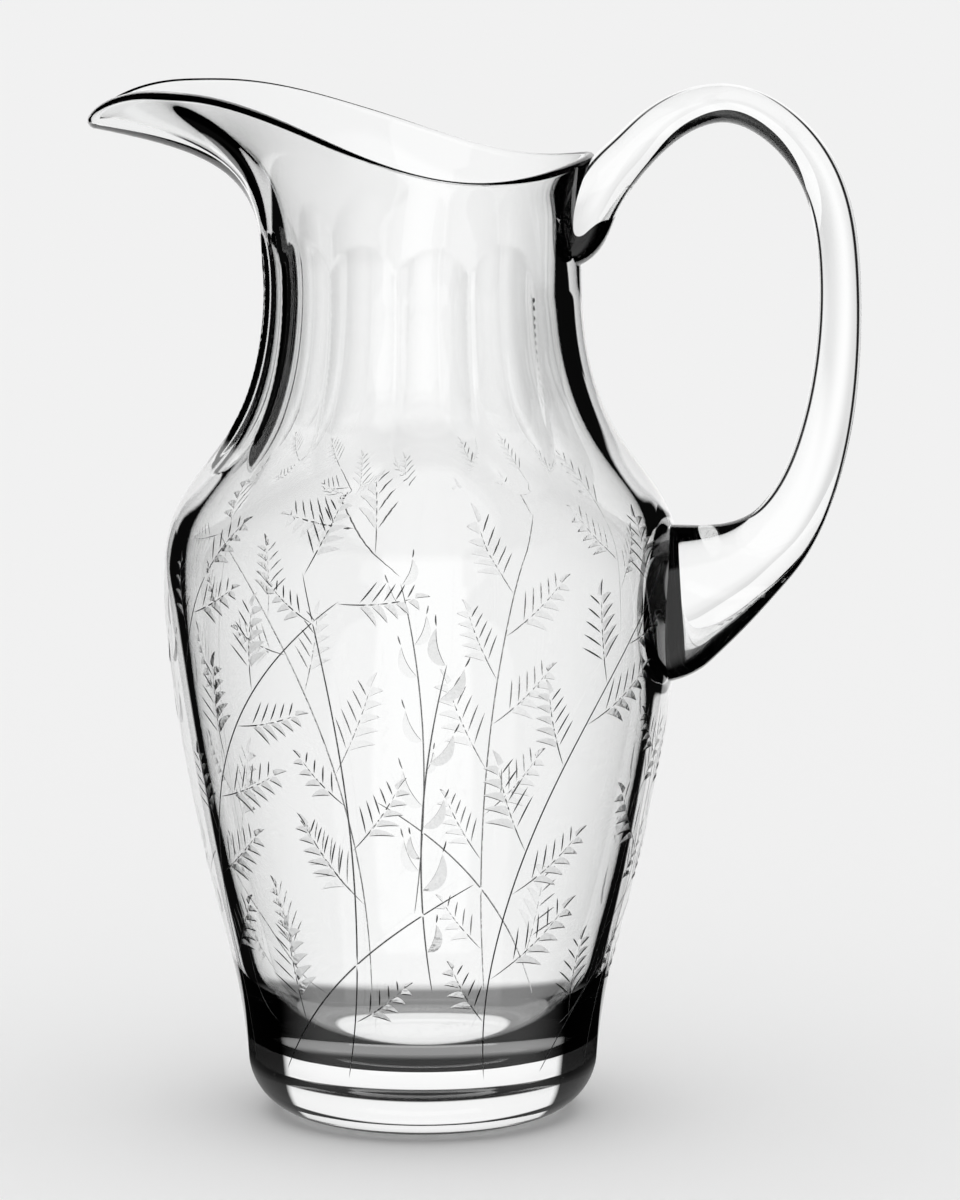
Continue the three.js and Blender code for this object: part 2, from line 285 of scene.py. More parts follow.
def unit(vectors):
    """Each vector divided by its length."""
    return vectors / np.maximum(np.linalg.norm(vectors, axis=-1, keepdims=True), 1e-12)


def wall_frame(angle, level):
    """Point, upward direction and outward normal. The two directions are differences of nearby
    points along the outline and round the axis; the normal is their cross product."""
    step = 1e-3
    turn = 2e-3
    level = np.minimum(np.asarray(level, float), 2.0)
    r, z = outline(angle, level)
    low = outline(angle, level - step)
    high = outline(angle, level + step)
    left = outline(angle - turn, level)
    right = outline(angle + turn, level)
    up = unit(turned(high[0], angle, high[1]) - turned(low[0], angle, low[1]))
    round_way = turned(right[0], angle + turn, right[1]) - turned(left[0], angle - turn, left[1])
    return turned(r, angle, z), up, unit(np.cross(round_way, up))


def outside(angle, level):
    """Point and normal on the outside. Past level 2 the point runs over the lip's half round:
    edge + half * ((cos t - 1) * out + sin t * up), with t growing by a half turn for each level."""
    angle, level = np.broadcast_arrays(np.asarray(angle, float), np.asarray(level, float))
    edge, up, out = wall_frame(angle, level)
    t = (np.maximum(level - 2, 0) * math.pi)[..., None]
    point = edge + lip_half(angle)[..., None] * ((np.cos(t) - 1) * out + np.sin(t) * up)
    return point, np.cos(t) * out + np.sin(t) * up


def level_at(angle, height):
    """Level at which the outside has a height, found by halving between 0 and 2.5."""
    low = np.zeros(np.broadcast(angle, height).shape)
    high = np.full_like(low, 2.5)
    for _ in range(36):
        middle = (low + high) / 2
        below = outside(angle, middle)[0][..., 2] < height
        low = np.where(below, middle, low)
        high = np.where(below, high, middle)
    return (low + high) / 2


print("lip crest at the handle:", np.round(outside(0.0, 2.5)[0], 2))

# %% [markdown]
# ## The cut panels of the neck
#
# A cutter holds the neck against a turning wheel and grinds flat panels side by side, so that
# upright ridges stay between them, which polishing then softens. Eleven of fourteen divisions are
# cut; the rest, behind the handle, stays round. Each panel is flat across, and its depth runs out
# at both ends, which gives the arched tops and bottoms. The edges could be left to a fine grid,
# but they are worked out as lines, because an edge between two grid lines would look torn.

# %% Panels as a limit on the radius
PANEL_DIVISIONS = 14
PANEL_SIDE_COUNT = 5
PANEL_BOTTOM = 158.0
PANEL_TOP = 215.0
PANEL_DEPTH = 1.35
PANEL_PITCH = 2 * math.pi / PANEL_DIVISIONS
panel_numbers = np.arange(-PANEL_SIDE_COUNT, PANEL_SIDE_COUNT + 1)
table_levels = np.linspace(0.6, 1.7, 1400)
table_r, table_z = outline((math.pi + panel_numbers * PANEL_PITCH)[:, None], table_levels[None, :])


def panel_number(angle):
    """The panel whose middle is nearest to each direction, from -5 to 5, with 0 at the spout."""
    off = np.arctan2(np.sin(angle - math.pi), np.cos(angle - math.pi))
    return np.clip(np.rint(off / PANEL_PITCH), -PANEL_SIDE_COUNT, PANEL_SIDE_COUNT).astype(int)


def panel_face(number, height):
    """Distance of a panel's flat from the axis: the outline's radius in the panel's middle less
    a depth that falls with the fourth power of the distance from half height. Nothing is cut
    beyond the panel's ends."""
    share = (height - (PANEL_TOP + PANEL_BOTTOM) / 2) / ((PANEL_TOP - PANEL_BOTTOM) / 2)
    radius = np.empty(np.shape(height))
    for row, k in enumerate(panel_numbers):
        mine = number == k
        radius[mine] = np.interp(height[mine], table_z[row], table_r[row])
    return np.where(np.abs(share) < 1, radius - PANEL_DEPTH * (1 - share**4), 1e3)


def panel_excess(angle, level, number):
    """How far the uncut outside stands out beyond a panel's flat; above nought it is cut away."""
    r, z = outline(angle, level)
    off = angle - math.pi - number * PANEL_PITCH
    return r * np.cos(off) - panel_face(number, z)


PANEL_ROWS = 90
OUTER_PANEL_HALF = 0.36


def panel_edges():
    """Angle and level of both edges of each panel, by its height. The edge is where the uncut wall
    stands no further out than the flat, found by halving, or the ridge to the next panel. Heights
    are closer together towards both ends, where the edge turns round."""
    share = (1 - np.cos(math.pi * np.linspace(0.004, 0.996, PANEL_ROWS))) / 2
    number, side, height = np.meshgrid(
        panel_numbers, [1, -1], PANEL_BOTTOM + (PANEL_TOP - PANEL_BOTTOM) * share, indexing="ij")
    face = panel_face(number, height)
    widest = np.where(number * side == PANEL_SIDE_COUNT, OUTER_PANEL_HALF, PANEL_PITCH / 2)
    low = np.zeros(height.shape)
    high = widest.copy()
    for _ in range(24):
        half = (low + high) / 2
        angle = math.pi + number * PANEL_PITCH + side * half
        radius = outline(angle, level_at(angle, height))[0]
        cut = radius * np.cos(half) > face
        low = np.where(cut, half, low)
        high = np.where(cut, high, half)
    half = np.where(low > widest - 1e-6, widest, low)
    angle = math.pi + number * PANEL_PITCH + side * half
    return angle, level_at(angle, height)


edge_angles, edge_levels = panel_edges()
print("panels cut:", len(panel_numbers), "of", PANEL_DIVISIONS, "divisions")

# %% [markdown]
# ## The handle's rod
#
# The handle is a gather of hot glass, pressed on the neck, drawn out into a rod, bent over and
# pressed on the belly. Its upper end runs down the neck a little as a tail. It is a profile
# carried along a path: an ellipse that is thick where it was pressed on and slim in the hand.
# Each of the lines along the rod is followed to the place where it meets the body, so the two
# ends fit the curved wall exactly.

# %% The rod's path and thickness
HANDLE_REACH = 100.3
HANDLE_TOP = 246.1
UPPER_END = 209.5
LOWER_END = 124.5
GRIP_HALF_THICKNESS = 5.0
GRIP_HALF_WIDTH = 6.6
HANDLE_LINES = 64
SMALL_SHARE = 5e-4
SMALL_TURN = 1e-3
HALVINGS = 30


def between(low, high, share):
    """The value a share of the way from low to high."""
    return low + (high - low) * share


def from_neck(share):
    """Distance from the axis, a share of the way from the neck to the handle's farthest point."""
    return between(NECK_RADIUS, HANDLE_REACH, share)


def from_belly(share):
    """Distance from the axis, a share of the way from the belly to the handle's farthest point."""
    return between(BELLY_RADIUS, HANDLE_REACH, share)


def grip_height(share):
    """Height a share of the way from the lower joint to the handle's top."""
    return between(LOWER_END, HANDLE_TOP, share)


rod_at, rod_knots = smooth_curve([
    (from_neck(-0.18), 0, UPPER_END, 4.6, 6.5),
    (from_neck(-0.005), 0, between(UPPER_END, HANDLE_TOP, 0.1), 5.4, 8.5),
    (from_neck(0.037), 0, between(UPPER_END, HANDLE_TOP, 0.283), 6.1, 9.0),
    (from_neck(0.106), 0, between(UPPER_END, HANDLE_TOP, 0.501), 6.1, 8.7),
    (from_neck(0.194), 0, between(UPPER_END, HANDLE_TOP, 0.669), 5.5, 8.1),
    (from_neck(0.277), 0, between(UPPER_END, HANDLE_TOP, 0.806), 5.3, 7.5),
    (from_neck(0.42), 0, between(UPPER_END, HANDLE_TOP, 0.955), 4.9, 6.9),
    (from_neck(0.55), 0, HANDLE_TOP, 4.6, GRIP_HALF_WIDTH),
    (from_neck(0.77), 0, grip_height(0.955), 4.7, GRIP_HALF_WIDTH),
    (from_neck(0.93), 0, grip_height(0.85), 4.9, GRIP_HALF_WIDTH),
    (HANDLE_REACH, 0, grip_height(0.67), GRIP_HALF_THICKNESS, GRIP_HALF_WIDTH),
    (from_belly(0.99), 0, grip_height(0.505), 5.4, GRIP_HALF_WIDTH),
    (from_belly(0.905), 0, grip_height(0.34), 6.2, 6.93),
    (from_belly(0.727), 0, grip_height(0.195), 7.5, 7.6),
    (from_belly(0.6), 0, grip_height(0.14), 8.7, 8.2),
    (from_belly(0.46), 0, grip_height(0.103), 10.4, 9.0),
    (from_belly(0.31), 0, grip_height(0.074), 12.9, 10.2),
    (from_belly(0.157), 0, grip_height(0.05), 15.6, 11.4),
    (from_belly(0.0), 0, grip_height(0.028), 18.1, 12.6),
    (from_belly(-0.13), 0, grip_height(0.012), 19.3, 13.4),
    (from_belly(-0.27), 0, grip_height(0.004), 19.4, 14.0),
])
print("the rod's middle line has", len(rod_knots), "knots")


# %% Where the rod meets the wall
def rod(share, turn):
    """Point on the rod: middle line + thickness * cos(turn) * up + width * sin(turn) * across,
    where up is square to the middle line within the handle's own plane."""
    share, turn = np.broadcast_arrays(np.asarray(share, float), np.asarray(turn, float))
    here = rod_at(share)
    ahead = unit(rod_at(share + SMALL_SHARE)[..., :3] - rod_at(share - SMALL_SHARE)[..., :3])
    up = np.stack([-ahead[..., 2], np.zeros(share.shape), ahead[..., 0]], axis=-1)
    across = np.array([0.0, -1.0, 0.0])
    return (here[..., :3] + up * (here[..., 3] * np.cos(turn))[..., None]
            + across * (here[..., 4] * np.sin(turn))[..., None])


def rod_normal(share, turn):
    """Outward normal of the rod: cross product of its two directions by small differences."""
    along = rod(share + SMALL_SHARE, turn) - rod(share - SMALL_SHARE, turn)
    round_way = rod(share, turn + SMALL_TURN) - rod(share, turn - SMALL_TURN)
    return unit(np.cross(round_way, along))


def height_off_wall(points):
    """How far points stand out from the body at their own height, along the radius."""
    angle = np.arctan2(points[..., 1], points[..., 0])
    wall = outside(angle, level_at(angle, points[..., 2]))[0]
    return np.hypot(points[..., 0], points[..., 1]) - np.hypot(wall[..., 0], wall[..., 1])


def meeting_share(deep, clear, turns):
    """Share along the rod at which each line meets the wall, by halving between a share inside
    the wall and a share in the open."""
    low = np.full_like(turns, deep)
    high = np.full_like(turns, clear)
    for _ in range(HALVINGS):
        middle = (low + high) / 2
        out = height_off_wall(rod(middle, turns)) > 0
        high = np.where(out, middle, high)
        low = np.where(out, low, middle)
    return (low + high) / 2


rod_turns = np.arange(HANDLE_LINES) * (2 * math.pi / HANDLE_LINES)
upper_share = meeting_share(0.0, 0.2, rod_turns)
lower_share = meeting_share(1.0, 0.8, rod_turns)
upper_loop = rod(upper_share, rod_turns)
lower_loop = rod(lower_share, rod_turns)
print("upper joint", np.round(upper_loop[:, 2].min(), 1), "to", np.round(upper_loop[:, 2].max(), 1),
      "mm, lower joint", np.round(lower_loop[:, 2].min(), 1), "to", np.round(lower_loop[:, 2].max(), 1))

# %% [markdown]
# ## The wall unrolled
#
# The outside is unrolled to a flat sheet: the angle times a fixed radius goes to the right, and
# the length along the outline goes up. On this sheet the panels' edges, the handle's joints and
# every wheel cut are lines. Blender's constrained triangulation then fills the sheet with
# triangles that keep all those lines as edges, so each cut is crisp without a huge grid. The
# sheet's two sides meet in a plain strip beside the handle.

# %% Between the sheet and the wall
SHEET_RADIUS = 55.0
SEAM = math.radians(25)
MOUTH_LENGTH = 38.0
SHEET_WIDTH = 2 * math.pi * SHEET_RADIUS
LEVELS_AT = np.array([0.0, 1.0, 2.0, 2.5])
SHEET_AT = np.cumsum([0.0, WALL_LENGTH, MOUTH_LENGTH, LIP_HALF * math.pi / 2])
SHEET_HEIGHT = SHEET_AT[-1]


def to_sheet(angle, level):
    """Sheet place of an angle and a level."""
    x = np.mod(np.asarray(angle) - SEAM, 2 * math.pi) * SHEET_RADIUS
    return np.stack(np.broadcast_arrays(x, np.interp(level, LEVELS_AT, SHEET_AT)), axis=-1)


def from_sheet(places):
    """Angle and level of a sheet place."""
    angle = places[..., 0] / SHEET_RADIUS + SEAM
    return angle, np.interp(places[..., 1], SHEET_AT, LEVELS_AT)


def points_to_sheet(points):
    """Sheet places of points that lie on the outside."""
    angle = np.arctan2(points[:, 1], points[:, 0])
    return to_sheet(angle, level_at(angle, points[:, 2]))


sheet_height_radius = wall_at(np.linspace(0, NECK_SHARE, 400))[:, 0]


def stretch(y):
    """Sheet millimetres across for one real millimetre, at a height on the sheet."""
    return SHEET_RADIUS / np.interp(y, np.linspace(0, WALL_LENGTH, 400), sheet_height_radius)


joint_loops = [points_to_sheet(upper_loop), points_to_sheet(lower_loop)]
print("sheet", round(SHEET_WIDTH, 1), "by", round(SHEET_HEIGHT, 1), "mm")

# %% [markdown]
# ## The leaf sprays
#
# An engraver draws leaves with a few kinds of stroke on a small copper wheel. A stem is a fine
# groove. A slash is a narrow touch of the wheel's edge and looks like a dark line. A blade is a
# slantwise touch: its narrow side is steep, and its wide shallow side looks like pale grey. A
# feathered leaf has slashes on one side of its rib and blades on the other; a lance leaf is one
# long blade. All strokes are real grooves, because a bump alone would vanish at the wall's edge.


# %% One stroke of the wheel
def wheel_stroke(line, steep, shallow, depth):
    """A groove along a line of sheet points: its deepest line, an edge at the steep width to the
    left and an edge at the shallow width to the right, all meeting in the two end points.
    Returns the points, how deep each lies, and the edges between them."""
    count = len(line)
    way = unit(np.gradient(line, axis=0))
    left_way = np.stack([-way[:, 1], way[:, 0]], axis=1)
    scale = np.stack([stretch(line[:, 1]), np.ones(count)], axis=1)
    inner = slice(1, count - 1)
    left = (line + left_way * steep[:, None] * scale)[inner]
    right = (line - left_way * shallow[:, None] * scale)[inner]
    points = np.concatenate([line, left, right])
    depths = np.concatenate([depth, np.zeros(2 * (count - 2))])
    depths[[0, count - 1]] = 0
    middle = np.arange(count)
    left_chain = np.concatenate([[0], count + np.arange(count - 2), [count - 1]])
    right_chain = np.concatenate([[0], 2 * count - 2 + np.arange(count - 2), [count - 1]])
    edges = np.concatenate(
        [np.stack([c[:-1], c[1:]], axis=1) for c in (middle, left_chain, right_chain)])
    return points, depths, edges


def path(start, heading, bend, length, count):
    """A line on the sheet: it starts in a direction and turns evenly by bend over its length.
    Steps to the side are stretched so that they are true on the glass."""
    s = np.linspace(0, 1, count)
    turn = heading + bend * s
    dx = np.cos(turn) * (length / (count - 1))
    dy = np.sin(turn) * (length / (count - 1))
    y = start[1] + np.concatenate([[0], np.cumsum((dy[1:] + dy[:-1]) / 2)])
    across = (dx[1:] + dx[:-1]) / 2 * stretch((y[1:] + y[:-1]) / 2)
    x = start[0] + np.concatenate([[0], np.cumsum(across)])
    return np.stack([x, y], axis=1), turn


def swell(count, power):
    """Nought at both ends and 1 in the middle: a sine arch raised to a power."""
    return np.sin(math.pi * np.linspace(0, 1, count)) ** power


print("a groove is a deepest line between two edges")

# %% Slashes and blades
SLASH_POINTS = 7
SLASH_HALF = 0.2
SLASH_DEPTH = 0.4
BLADE_POINTS = 8
BLADE_BEND = 0.3
BLADE_EDGE = 0.12
BLADE_DEPTH = 0.3
GROOVE_DEPTH = 1.5


def slash(start, heading, length, bend):
    """A narrow touch of the wheel's edge: a V groove, pointed at both ends, that looks like a dark
    line."""
    line, _ = path(start, heading, bend, length, SLASH_POINTS)
    arch = swell(SLASH_POINTS, 0.6)
    return wheel_stroke(line, SLASH_HALF * arch, SLASH_HALF * arch, SLASH_DEPTH * arch)


def blade(start, heading, length, side, breadth):
    """A slantwise touch of the wheel: a shallow facet, broad at its foot and pointed at its end.
    Its deep edge faces the leaf's foot, and the facet lies on the side of the leaf's tip."""
    line, _ = path(start, heading, side * BLADE_BEND, length, BLADE_POINTS)
    wide = breadth * (1 - np.linspace(0, 1, BLADE_POINTS) ** 2.2)
    narrow = BLADE_EDGE * swell(BLADE_POINTS, 0.5)
    depth = BLADE_DEPTH * swell(BLADE_POINTS, 0.5)
    if side > 0:
        return wheel_stroke(line, narrow, wide, depth)
    return wheel_stroke(line, wide, narrow, depth)


print("a slash is", 2 * SLASH_HALF, "mm wide, a blade", BLADE_DEPTH, "mm deep")

# %% Leaves
SLASH_LEAN = 0.8
BLADE_LEAN = 0.72
FIRST_LEAFLET = 0.3
LAST_LEAFLET = 0.93
LONG_LEAF = 17
RIB_POINTS = 12
RIB_HALF = 0.17
RIB_GAP = 0.45
TIP_GAP = 0.4
LANCE_POINTS = 10
LANCE_EDGE = 0.16
LANCE_DEPTH = 0.36
LANCE_BEND = 0.7


def leaf(start, heading, length, bend, dark_side):
    """A leaf: a fine rib whose foot is bare, slashes along one side and blades along the other,
    shorter towards the tip, and one blade at the end. The blades nearly touch, so together they
    make a pale half leaf with a toothed edge."""
    line, turn = path(start, heading, bend, length, RIB_POINTS)
    fine = RIB_HALF * swell(RIB_POINTS, 0.4)
    strokes = [wheel_stroke(line, fine, fine, GROOVE_DEPTH * fine)]
    scale = stretch(start[1])
    pairs = 5 if length > LONG_LEAF else 4
    step = (LAST_LEAFLET - FIRST_LEAFLET) * length / (pairs - 1)
    for pair in range(pairs):
        later = pair / (pairs - 1)
        k = between(FIRST_LEAFLET, LAST_LEAFLET, later) * (RIB_POINTS - 1)
        foot = np.array([np.interp(k, np.arange(RIB_POINTS), line[:, i]) for i in range(2)])
        way = np.interp(k, np.arange(RIB_POINTS), turn)
        for side in (1, -1):
            gap = np.array([math.cos(way + side * math.pi / 2) * scale,
                            math.sin(way + side * math.pi / 2)]) * RIB_GAP
            if side == dark_side:
                size = length * between(0.37, 0.2, later)
                strokes.append(slash(foot + gap, way + side * SLASH_LEAN, size, side * 0.12))
            else:
                size = length * between(0.33, 0.18, later)
                breadth = 0.86 * step * math.sin(BLADE_LEAN)
                strokes.append(blade(foot + gap, way + side * BLADE_LEAN, size, side, breadth))
    tip = line[-1] + np.array([math.cos(turn[-1]) * scale, math.sin(turn[-1])]) * TIP_GAP
    strokes.append(blade(tip, turn[-1], 0.2 * length, -dark_side, 0.06 * length))
    return strokes


def lance_leaf(start, heading, length, side):
    """A plain slender leaf: one long blade with its deep edge on one side and a spur at its tip."""
    line, turn = path(start, heading, side * LANCE_BEND, length, LANCE_POINTS)
    s = np.linspace(0, 1, LANCE_POINTS)
    wide = 0.27 * length * np.sin(math.pi * s**0.75)
    narrow = LANCE_EDGE * swell(LANCE_POINTS, 0.3)
    depth = LANCE_DEPTH * swell(LANCE_POINTS, 0.3)
    ahead = np.array([math.cos(turn[-1]) * stretch(line[-1, 1]), math.sin(turn[-1])])
    spur = slash(line[-1] + ahead * TIP_GAP, turn[-1] - side * 0.3, 0.3 * length, side * 0.3)
    if side > 0:
        return [wheel_stroke(line, narrow, wide, depth), spur]
    return [wheel_stroke(line, wide, narrow, depth), spur]


print("leaflets stand on a rib from", FIRST_LEAFLET, "to", LAST_LEAFLET, "of its length")

# %% [markdown]
# ## Where the sprays go
#
# The arrangement is made by a rule, with no chance in it. In each of four groups, stems rise
# from the foot and bend over, and they may cross, as one groove may cut through another. Leaves
# stand on a stem left and right and get smaller towards its tip. A leaf that would touch what is
# already there is tried smaller and then left out. Small sprigs fill the places that stay free.
# A raster of half-millimetre cells remembers what is taken, which is quicker than comparing lines.

# %% Which places on the sheet are free
HIGHEST_CUT = 154.0
LOWEST_CUT = 2.0
SEAM_STRIP = 4.0
CELL = 0.5
strokes = []
occupied = np.zeros((int(SHEET_WIDTH / CELL) + 8, int(SHEET_HEIGHT / CELL) + 8), bool)
under_joints = np.zeros_like(occupied)


def cells_under(points, edges):
    """Cells of a fine raster under the edges of a stroke, sampled at five places on each edge."""
    t = np.linspace(0, 1, 5)[:, None, None]
    along = points[edges[:, 0]] * (1 - t) + points[edges[:, 1]] * t
    return (along.reshape(-1, 2) / CELL).astype(int) + 3


def fits(candidate, taken):
    """True if a group of strokes lies on the engraved part of the sheet and over free cells."""
    points = np.concatenate([stroke[0] for stroke in candidate])
    if points[:, 1].min() < LOWEST_CUT or points[:, 1].max() > HIGHEST_CUT:
        return False
    if points[:, 0].min() < SEAM_STRIP or points[:, 0].max() > SHEET_WIDTH - SEAM_STRIP:
        return False
    cells = np.concatenate([cells_under(stroke[0], stroke[2]) for stroke in candidate])
    return not taken[cells[:, 0], cells[:, 1]].any()


def mark(taken, cells):
    """Mark cells and their neighbours as taken."""
    for dx in (-1, 0, 1):
        for dy in (-1, 0, 1):
            taken[cells[:, 0] + dx, cells[:, 1] + dy] = True


def take(candidate):
    """Keep a group of strokes and mark what lies under it."""
    strokes.extend(candidate)
    mark(occupied, np.concatenate([cells_under(stroke[0], stroke[2]) for stroke in candidate]))


for loop in joint_loops:
    k = np.arange(HANDLE_LINES)
    mark(under_joints, cells_under(loop, np.stack([k, (k + 1) % HANDLE_LINES], axis=1)))
occupied |= under_joints
print("cells kept free for the handle:", int(under_joints.sum()))

# %% Stems
GROUPS = 4
GROUP_TURN = 0.32
SPRAY_FOOT = 3.0
STEM_POINTS = 60
STEM_HALF = 0.2
stems = []


def dark_side_of(heading):
    """The side of a leaf that gets the slashes: the one that looks up or to the left."""
    left_way = heading + math.pi / 2
    return 1 if math.sin(left_way) - 0.4 * math.cos(left_way) > 0 else -1


def grow_stem(x, y, heading, bend, length, slender):
    """Cut a stem at its full length or, where it would run into the handle, a shorter one."""
    for shorter in (1.0, 0.85, 0.7, 0.55, 0.4):
        line, turn = path((x, y), heading, bend * shorter, length * shorter, STEM_POINTS)
        fine = STEM_HALF * swell(STEM_POINTS, 0.2)
        stem = [wheel_stroke(line, fine, fine, GROOVE_DEPTH * fine)]
        if fits(stem, under_joints):
            take(stem)
            stems.append((line, turn, length * shorter, slender))
            return


for group in range(GROUPS):
    middle = SHEET_WIDTH * (group + GROUP_TURN) / GROUPS
    upright = math.pi / 2
    grow_stem(middle - 24, SPRAY_FOOT, upright + 0.1, -0.95 + 0.1 * math.sin(2.1 * group), 138, False)
    grow_stem(middle + 20, SPRAY_FOOT, upright - 0.2, 0.5 + 0.1 * math.sin(1.7 * group), 128, False)
    grow_stem(middle - 4, SPRAY_FOOT, upright - 0.55, -0.5, 74, False)
    grow_stem(middle + 46, 26.0, upright + 0.16, -0.4, 84, True)
print("stems:", len(stems))

# %% Leaves on the stems
LEAF_STEP = 11.5
LANCE_STEP = 8.4
leaf_count = 0


def beside(foot, angle, gap):
    """The sheet place at a small distance from a stem in the direction of a leaf."""
    return foot + np.array([math.cos(angle) * stretch(foot[1]), math.sin(angle)]) * gap


for number, (line, turn, length, slender) in enumerate(stems):
    count = int(length / (LANCE_STEP if slender else LEAF_STEP))
    for step in range(count):
        share = (step + 1.3) / (count + 0.4)
        k = share * (STEM_POINTS - 1)
        foot = np.array([np.interp(k, np.arange(STEM_POINTS), line[:, i]) for i in range(2)])
        way = np.interp(k, np.arange(STEM_POINTS), turn)
        side = 1 if (step + number) % 2 else -1
        angle = way + side * (0.8 + 0.12 * math.sin(2.7 * step + number))
        size = (22.5 - 3 * share) * (1 + 0.1 * math.sin(1.9 * step + 2.3 * number))
        for shorter in (1.0, 0.85, 0.7):
            for gap in (1.8, 0.3):
                start = beside(foot, angle, gap)
                if slender:
                    candidate = lance_leaf(start, angle, 0.45 * size * shorter, -side)
                else:
                    candidate = leaf(start, angle, size * shorter, -side * 0.3, dark_side_of(angle))
                if gap > 1 and not fits(candidate, occupied):
                    break
            else:
                take(candidate)
                leaf_count += 1
                break
print("leaves on the stems:", leaf_count)

# %% Sprigs in the free places
FILL_STEP = 12.0
FILL_ROWS = 12
SPRIG_POINTS = 20
SPRIG_HALF = 0.18


def sprig(start, heading, length, bend):
    """A short stem with a leaf to each side and one at its end."""
    line, turn = path(start, heading, bend, length, SPRIG_POINTS)
    fine = SPRIG_HALF * swell(SPRIG_POINTS, 0.3)
    made = [wheel_stroke(line, fine, fine, GROOVE_DEPTH * fine)]
    for k, side in ((6, 1), (11, -1), (18, 0)):
        angle = turn[k] + side * 0.8
        made += leaf(beside(line[k], angle, 0.4), angle, 0.6 * length, -side * 0.3, dark_side_of(angle))
    return made


for row in range(FILL_ROWS):
    for column in range(int(SHEET_WIDTH / FILL_STEP)):
        wave = math.sin(12.9 * row + 7.8 * column) * 43.7
        x = FILL_STEP * (column + 0.5 * (row % 2)) + 3 * math.sin(wave)
        y = 6 + FILL_STEP * row + 3 * math.sin(2 * wave)
        heading = math.pi / 2 + 0.8 * math.sin(3 * wave)
        bend = 0.5 * math.sin(5 * wave)
        for size in (32.0, 28.0):
            candidate = sprig((x, y), heading, size, bend)
            if fits(candidate, occupied):
                take(candidate)
                leaf_count += 1
                break
print("leaves and sprigs:", leaf_count, "strokes:", len(strokes))

# %% [markdown]
# ## Triangles for the outside
#
# The points of a plain grid carry the broad curve of the wall. Where a stroke of the wheel lies,
# the grid's own points give way to the stroke's. All points and edges then go to the constrained
# triangulation at once. Each triangle belongs to the round wall, to a flat panel, to a wheel cut
# or to a joint, and that decides its normals and its finish.

# %% A plain grid that gives way to the cuts
GRID_COLUMNS = 180
RIM_COLUMNS = 240
RIM_SAMPLES = 4001
CLEAR_CELL = 1.0
TOUCH = 1e-6
columns_change = WALL_LENGTH + 8
grid_y = np.concatenate([
    np.linspace(0, WALL_LENGTH, 96)[:-1],
    np.linspace(WALL_LENGTH, SHEET_AT[2], 26)[:-1],
    np.linspace(SHEET_AT[2], SHEET_HEIGHT, 6),
])
fine_x = np.linspace(0, SHEET_WIDTH, RIM_SAMPLES)
fine_rim = outside(*from_sheet(np.stack([fine_x, np.full(RIM_SAMPLES, SHEET_AT[2])], axis=1)))[0]
rim_run = np.concatenate([[0], np.cumsum(np.linalg.norm(np.diff(fine_rim, axis=0), axis=1))])
rim_x = np.interp(np.linspace(0, rim_run[-1], RIM_COLUMNS + 1), rim_run, fine_x)
rim_x[[0, -1]] = 0, SHEET_WIDTH
wall_x = np.linspace(0, SHEET_WIDTH, GRID_COLUMNS + 1)
grid = np.concatenate([
    np.stack(np.meshgrid(wall_x, grid_y[grid_y <= columns_change]), axis=-1).reshape(-1, 2),
    np.stack(np.meshgrid(rim_x, grid_y[grid_y > columns_change]), axis=-1).reshape(-1, 2),
])
cut_points = np.concatenate([stroke[0] for stroke in strokes] + joint_loops)
cells = np.zeros((int(SHEET_WIDTH / CLEAR_CELL) + 4, int(SHEET_HEIGHT / CLEAR_CELL) + 4), bool)
here = (cut_points / CLEAR_CELL).astype(int) + 1
for dx in (-1, 0, 1):
    for dy in (-1, 0, 1):
        cells[here[:, 0] + dx, here[:, 1] + dy] = True
border = (grid[:, 0] < TOUCH) | (grid[:, 0] > SHEET_WIDTH - TOUCH)
border |= (grid[:, 1] < TOUCH) | (grid[:, 1] > SHEET_HEIGHT - TOUCH)
grid_cell = (grid / CLEAR_CELL).astype(int) + 1
grid = grid[border | ~cells[grid_cell[:, 0], grid_cell[:, 1]]]
print("grid points that stay:", len(grid))

# %% Lines of cuts, joints and panels
EDGE_SOFTNESS = 0.9
all_points = [grid]
all_depths = [np.zeros(len(grid))]
all_edges = []
offset = len(grid)


def add_lines(points, depths, edges):
    """Put a group of points, their depths and their edges on the sheet's lists."""
    global offset
    all_points.append(points)
    all_depths.append(depths)
    all_edges.append(np.asarray(edges) + offset)
    offset += len(points)


for points, depths, edges in strokes:
    add_lines(points, depths, edges)
loop_starts = []
for loop in joint_loops:
    loop_starts.append(offset)
    k = np.arange(HANDLE_LINES)
    add_lines(loop, np.zeros(HANDLE_LINES), np.stack([k, (k + 1) % HANDLE_LINES], axis=1))
panel_edge_starts = []
chain = np.stack([np.arange(PANEL_ROWS - 1), np.arange(1, PANEL_ROWS)], axis=1)
for row in range(len(panel_numbers)):
    for side in (0, 1):
        line = to_sheet(edge_angles[row, side], edge_levels[row, side])
        way = unit(np.gradient(line, axis=0))
        aside = np.stack([-way[:, 1] * stretch(line[:, 1]), way[:, 0]], axis=1) * EDGE_SOFTNESS
        panel_edge_starts.append(offset)
        for edge_line in (line, line + aside, line - aside):
            add_lines(edge_line, np.zeros(PANEL_ROWS), chain)
sheet_points = np.concatenate(all_points)
sheet_depths = np.concatenate(all_depths)
sheet_edges = np.concatenate(all_edges)
print("sheet points:", len(sheet_points), "fixed edges:", len(sheet_edges))

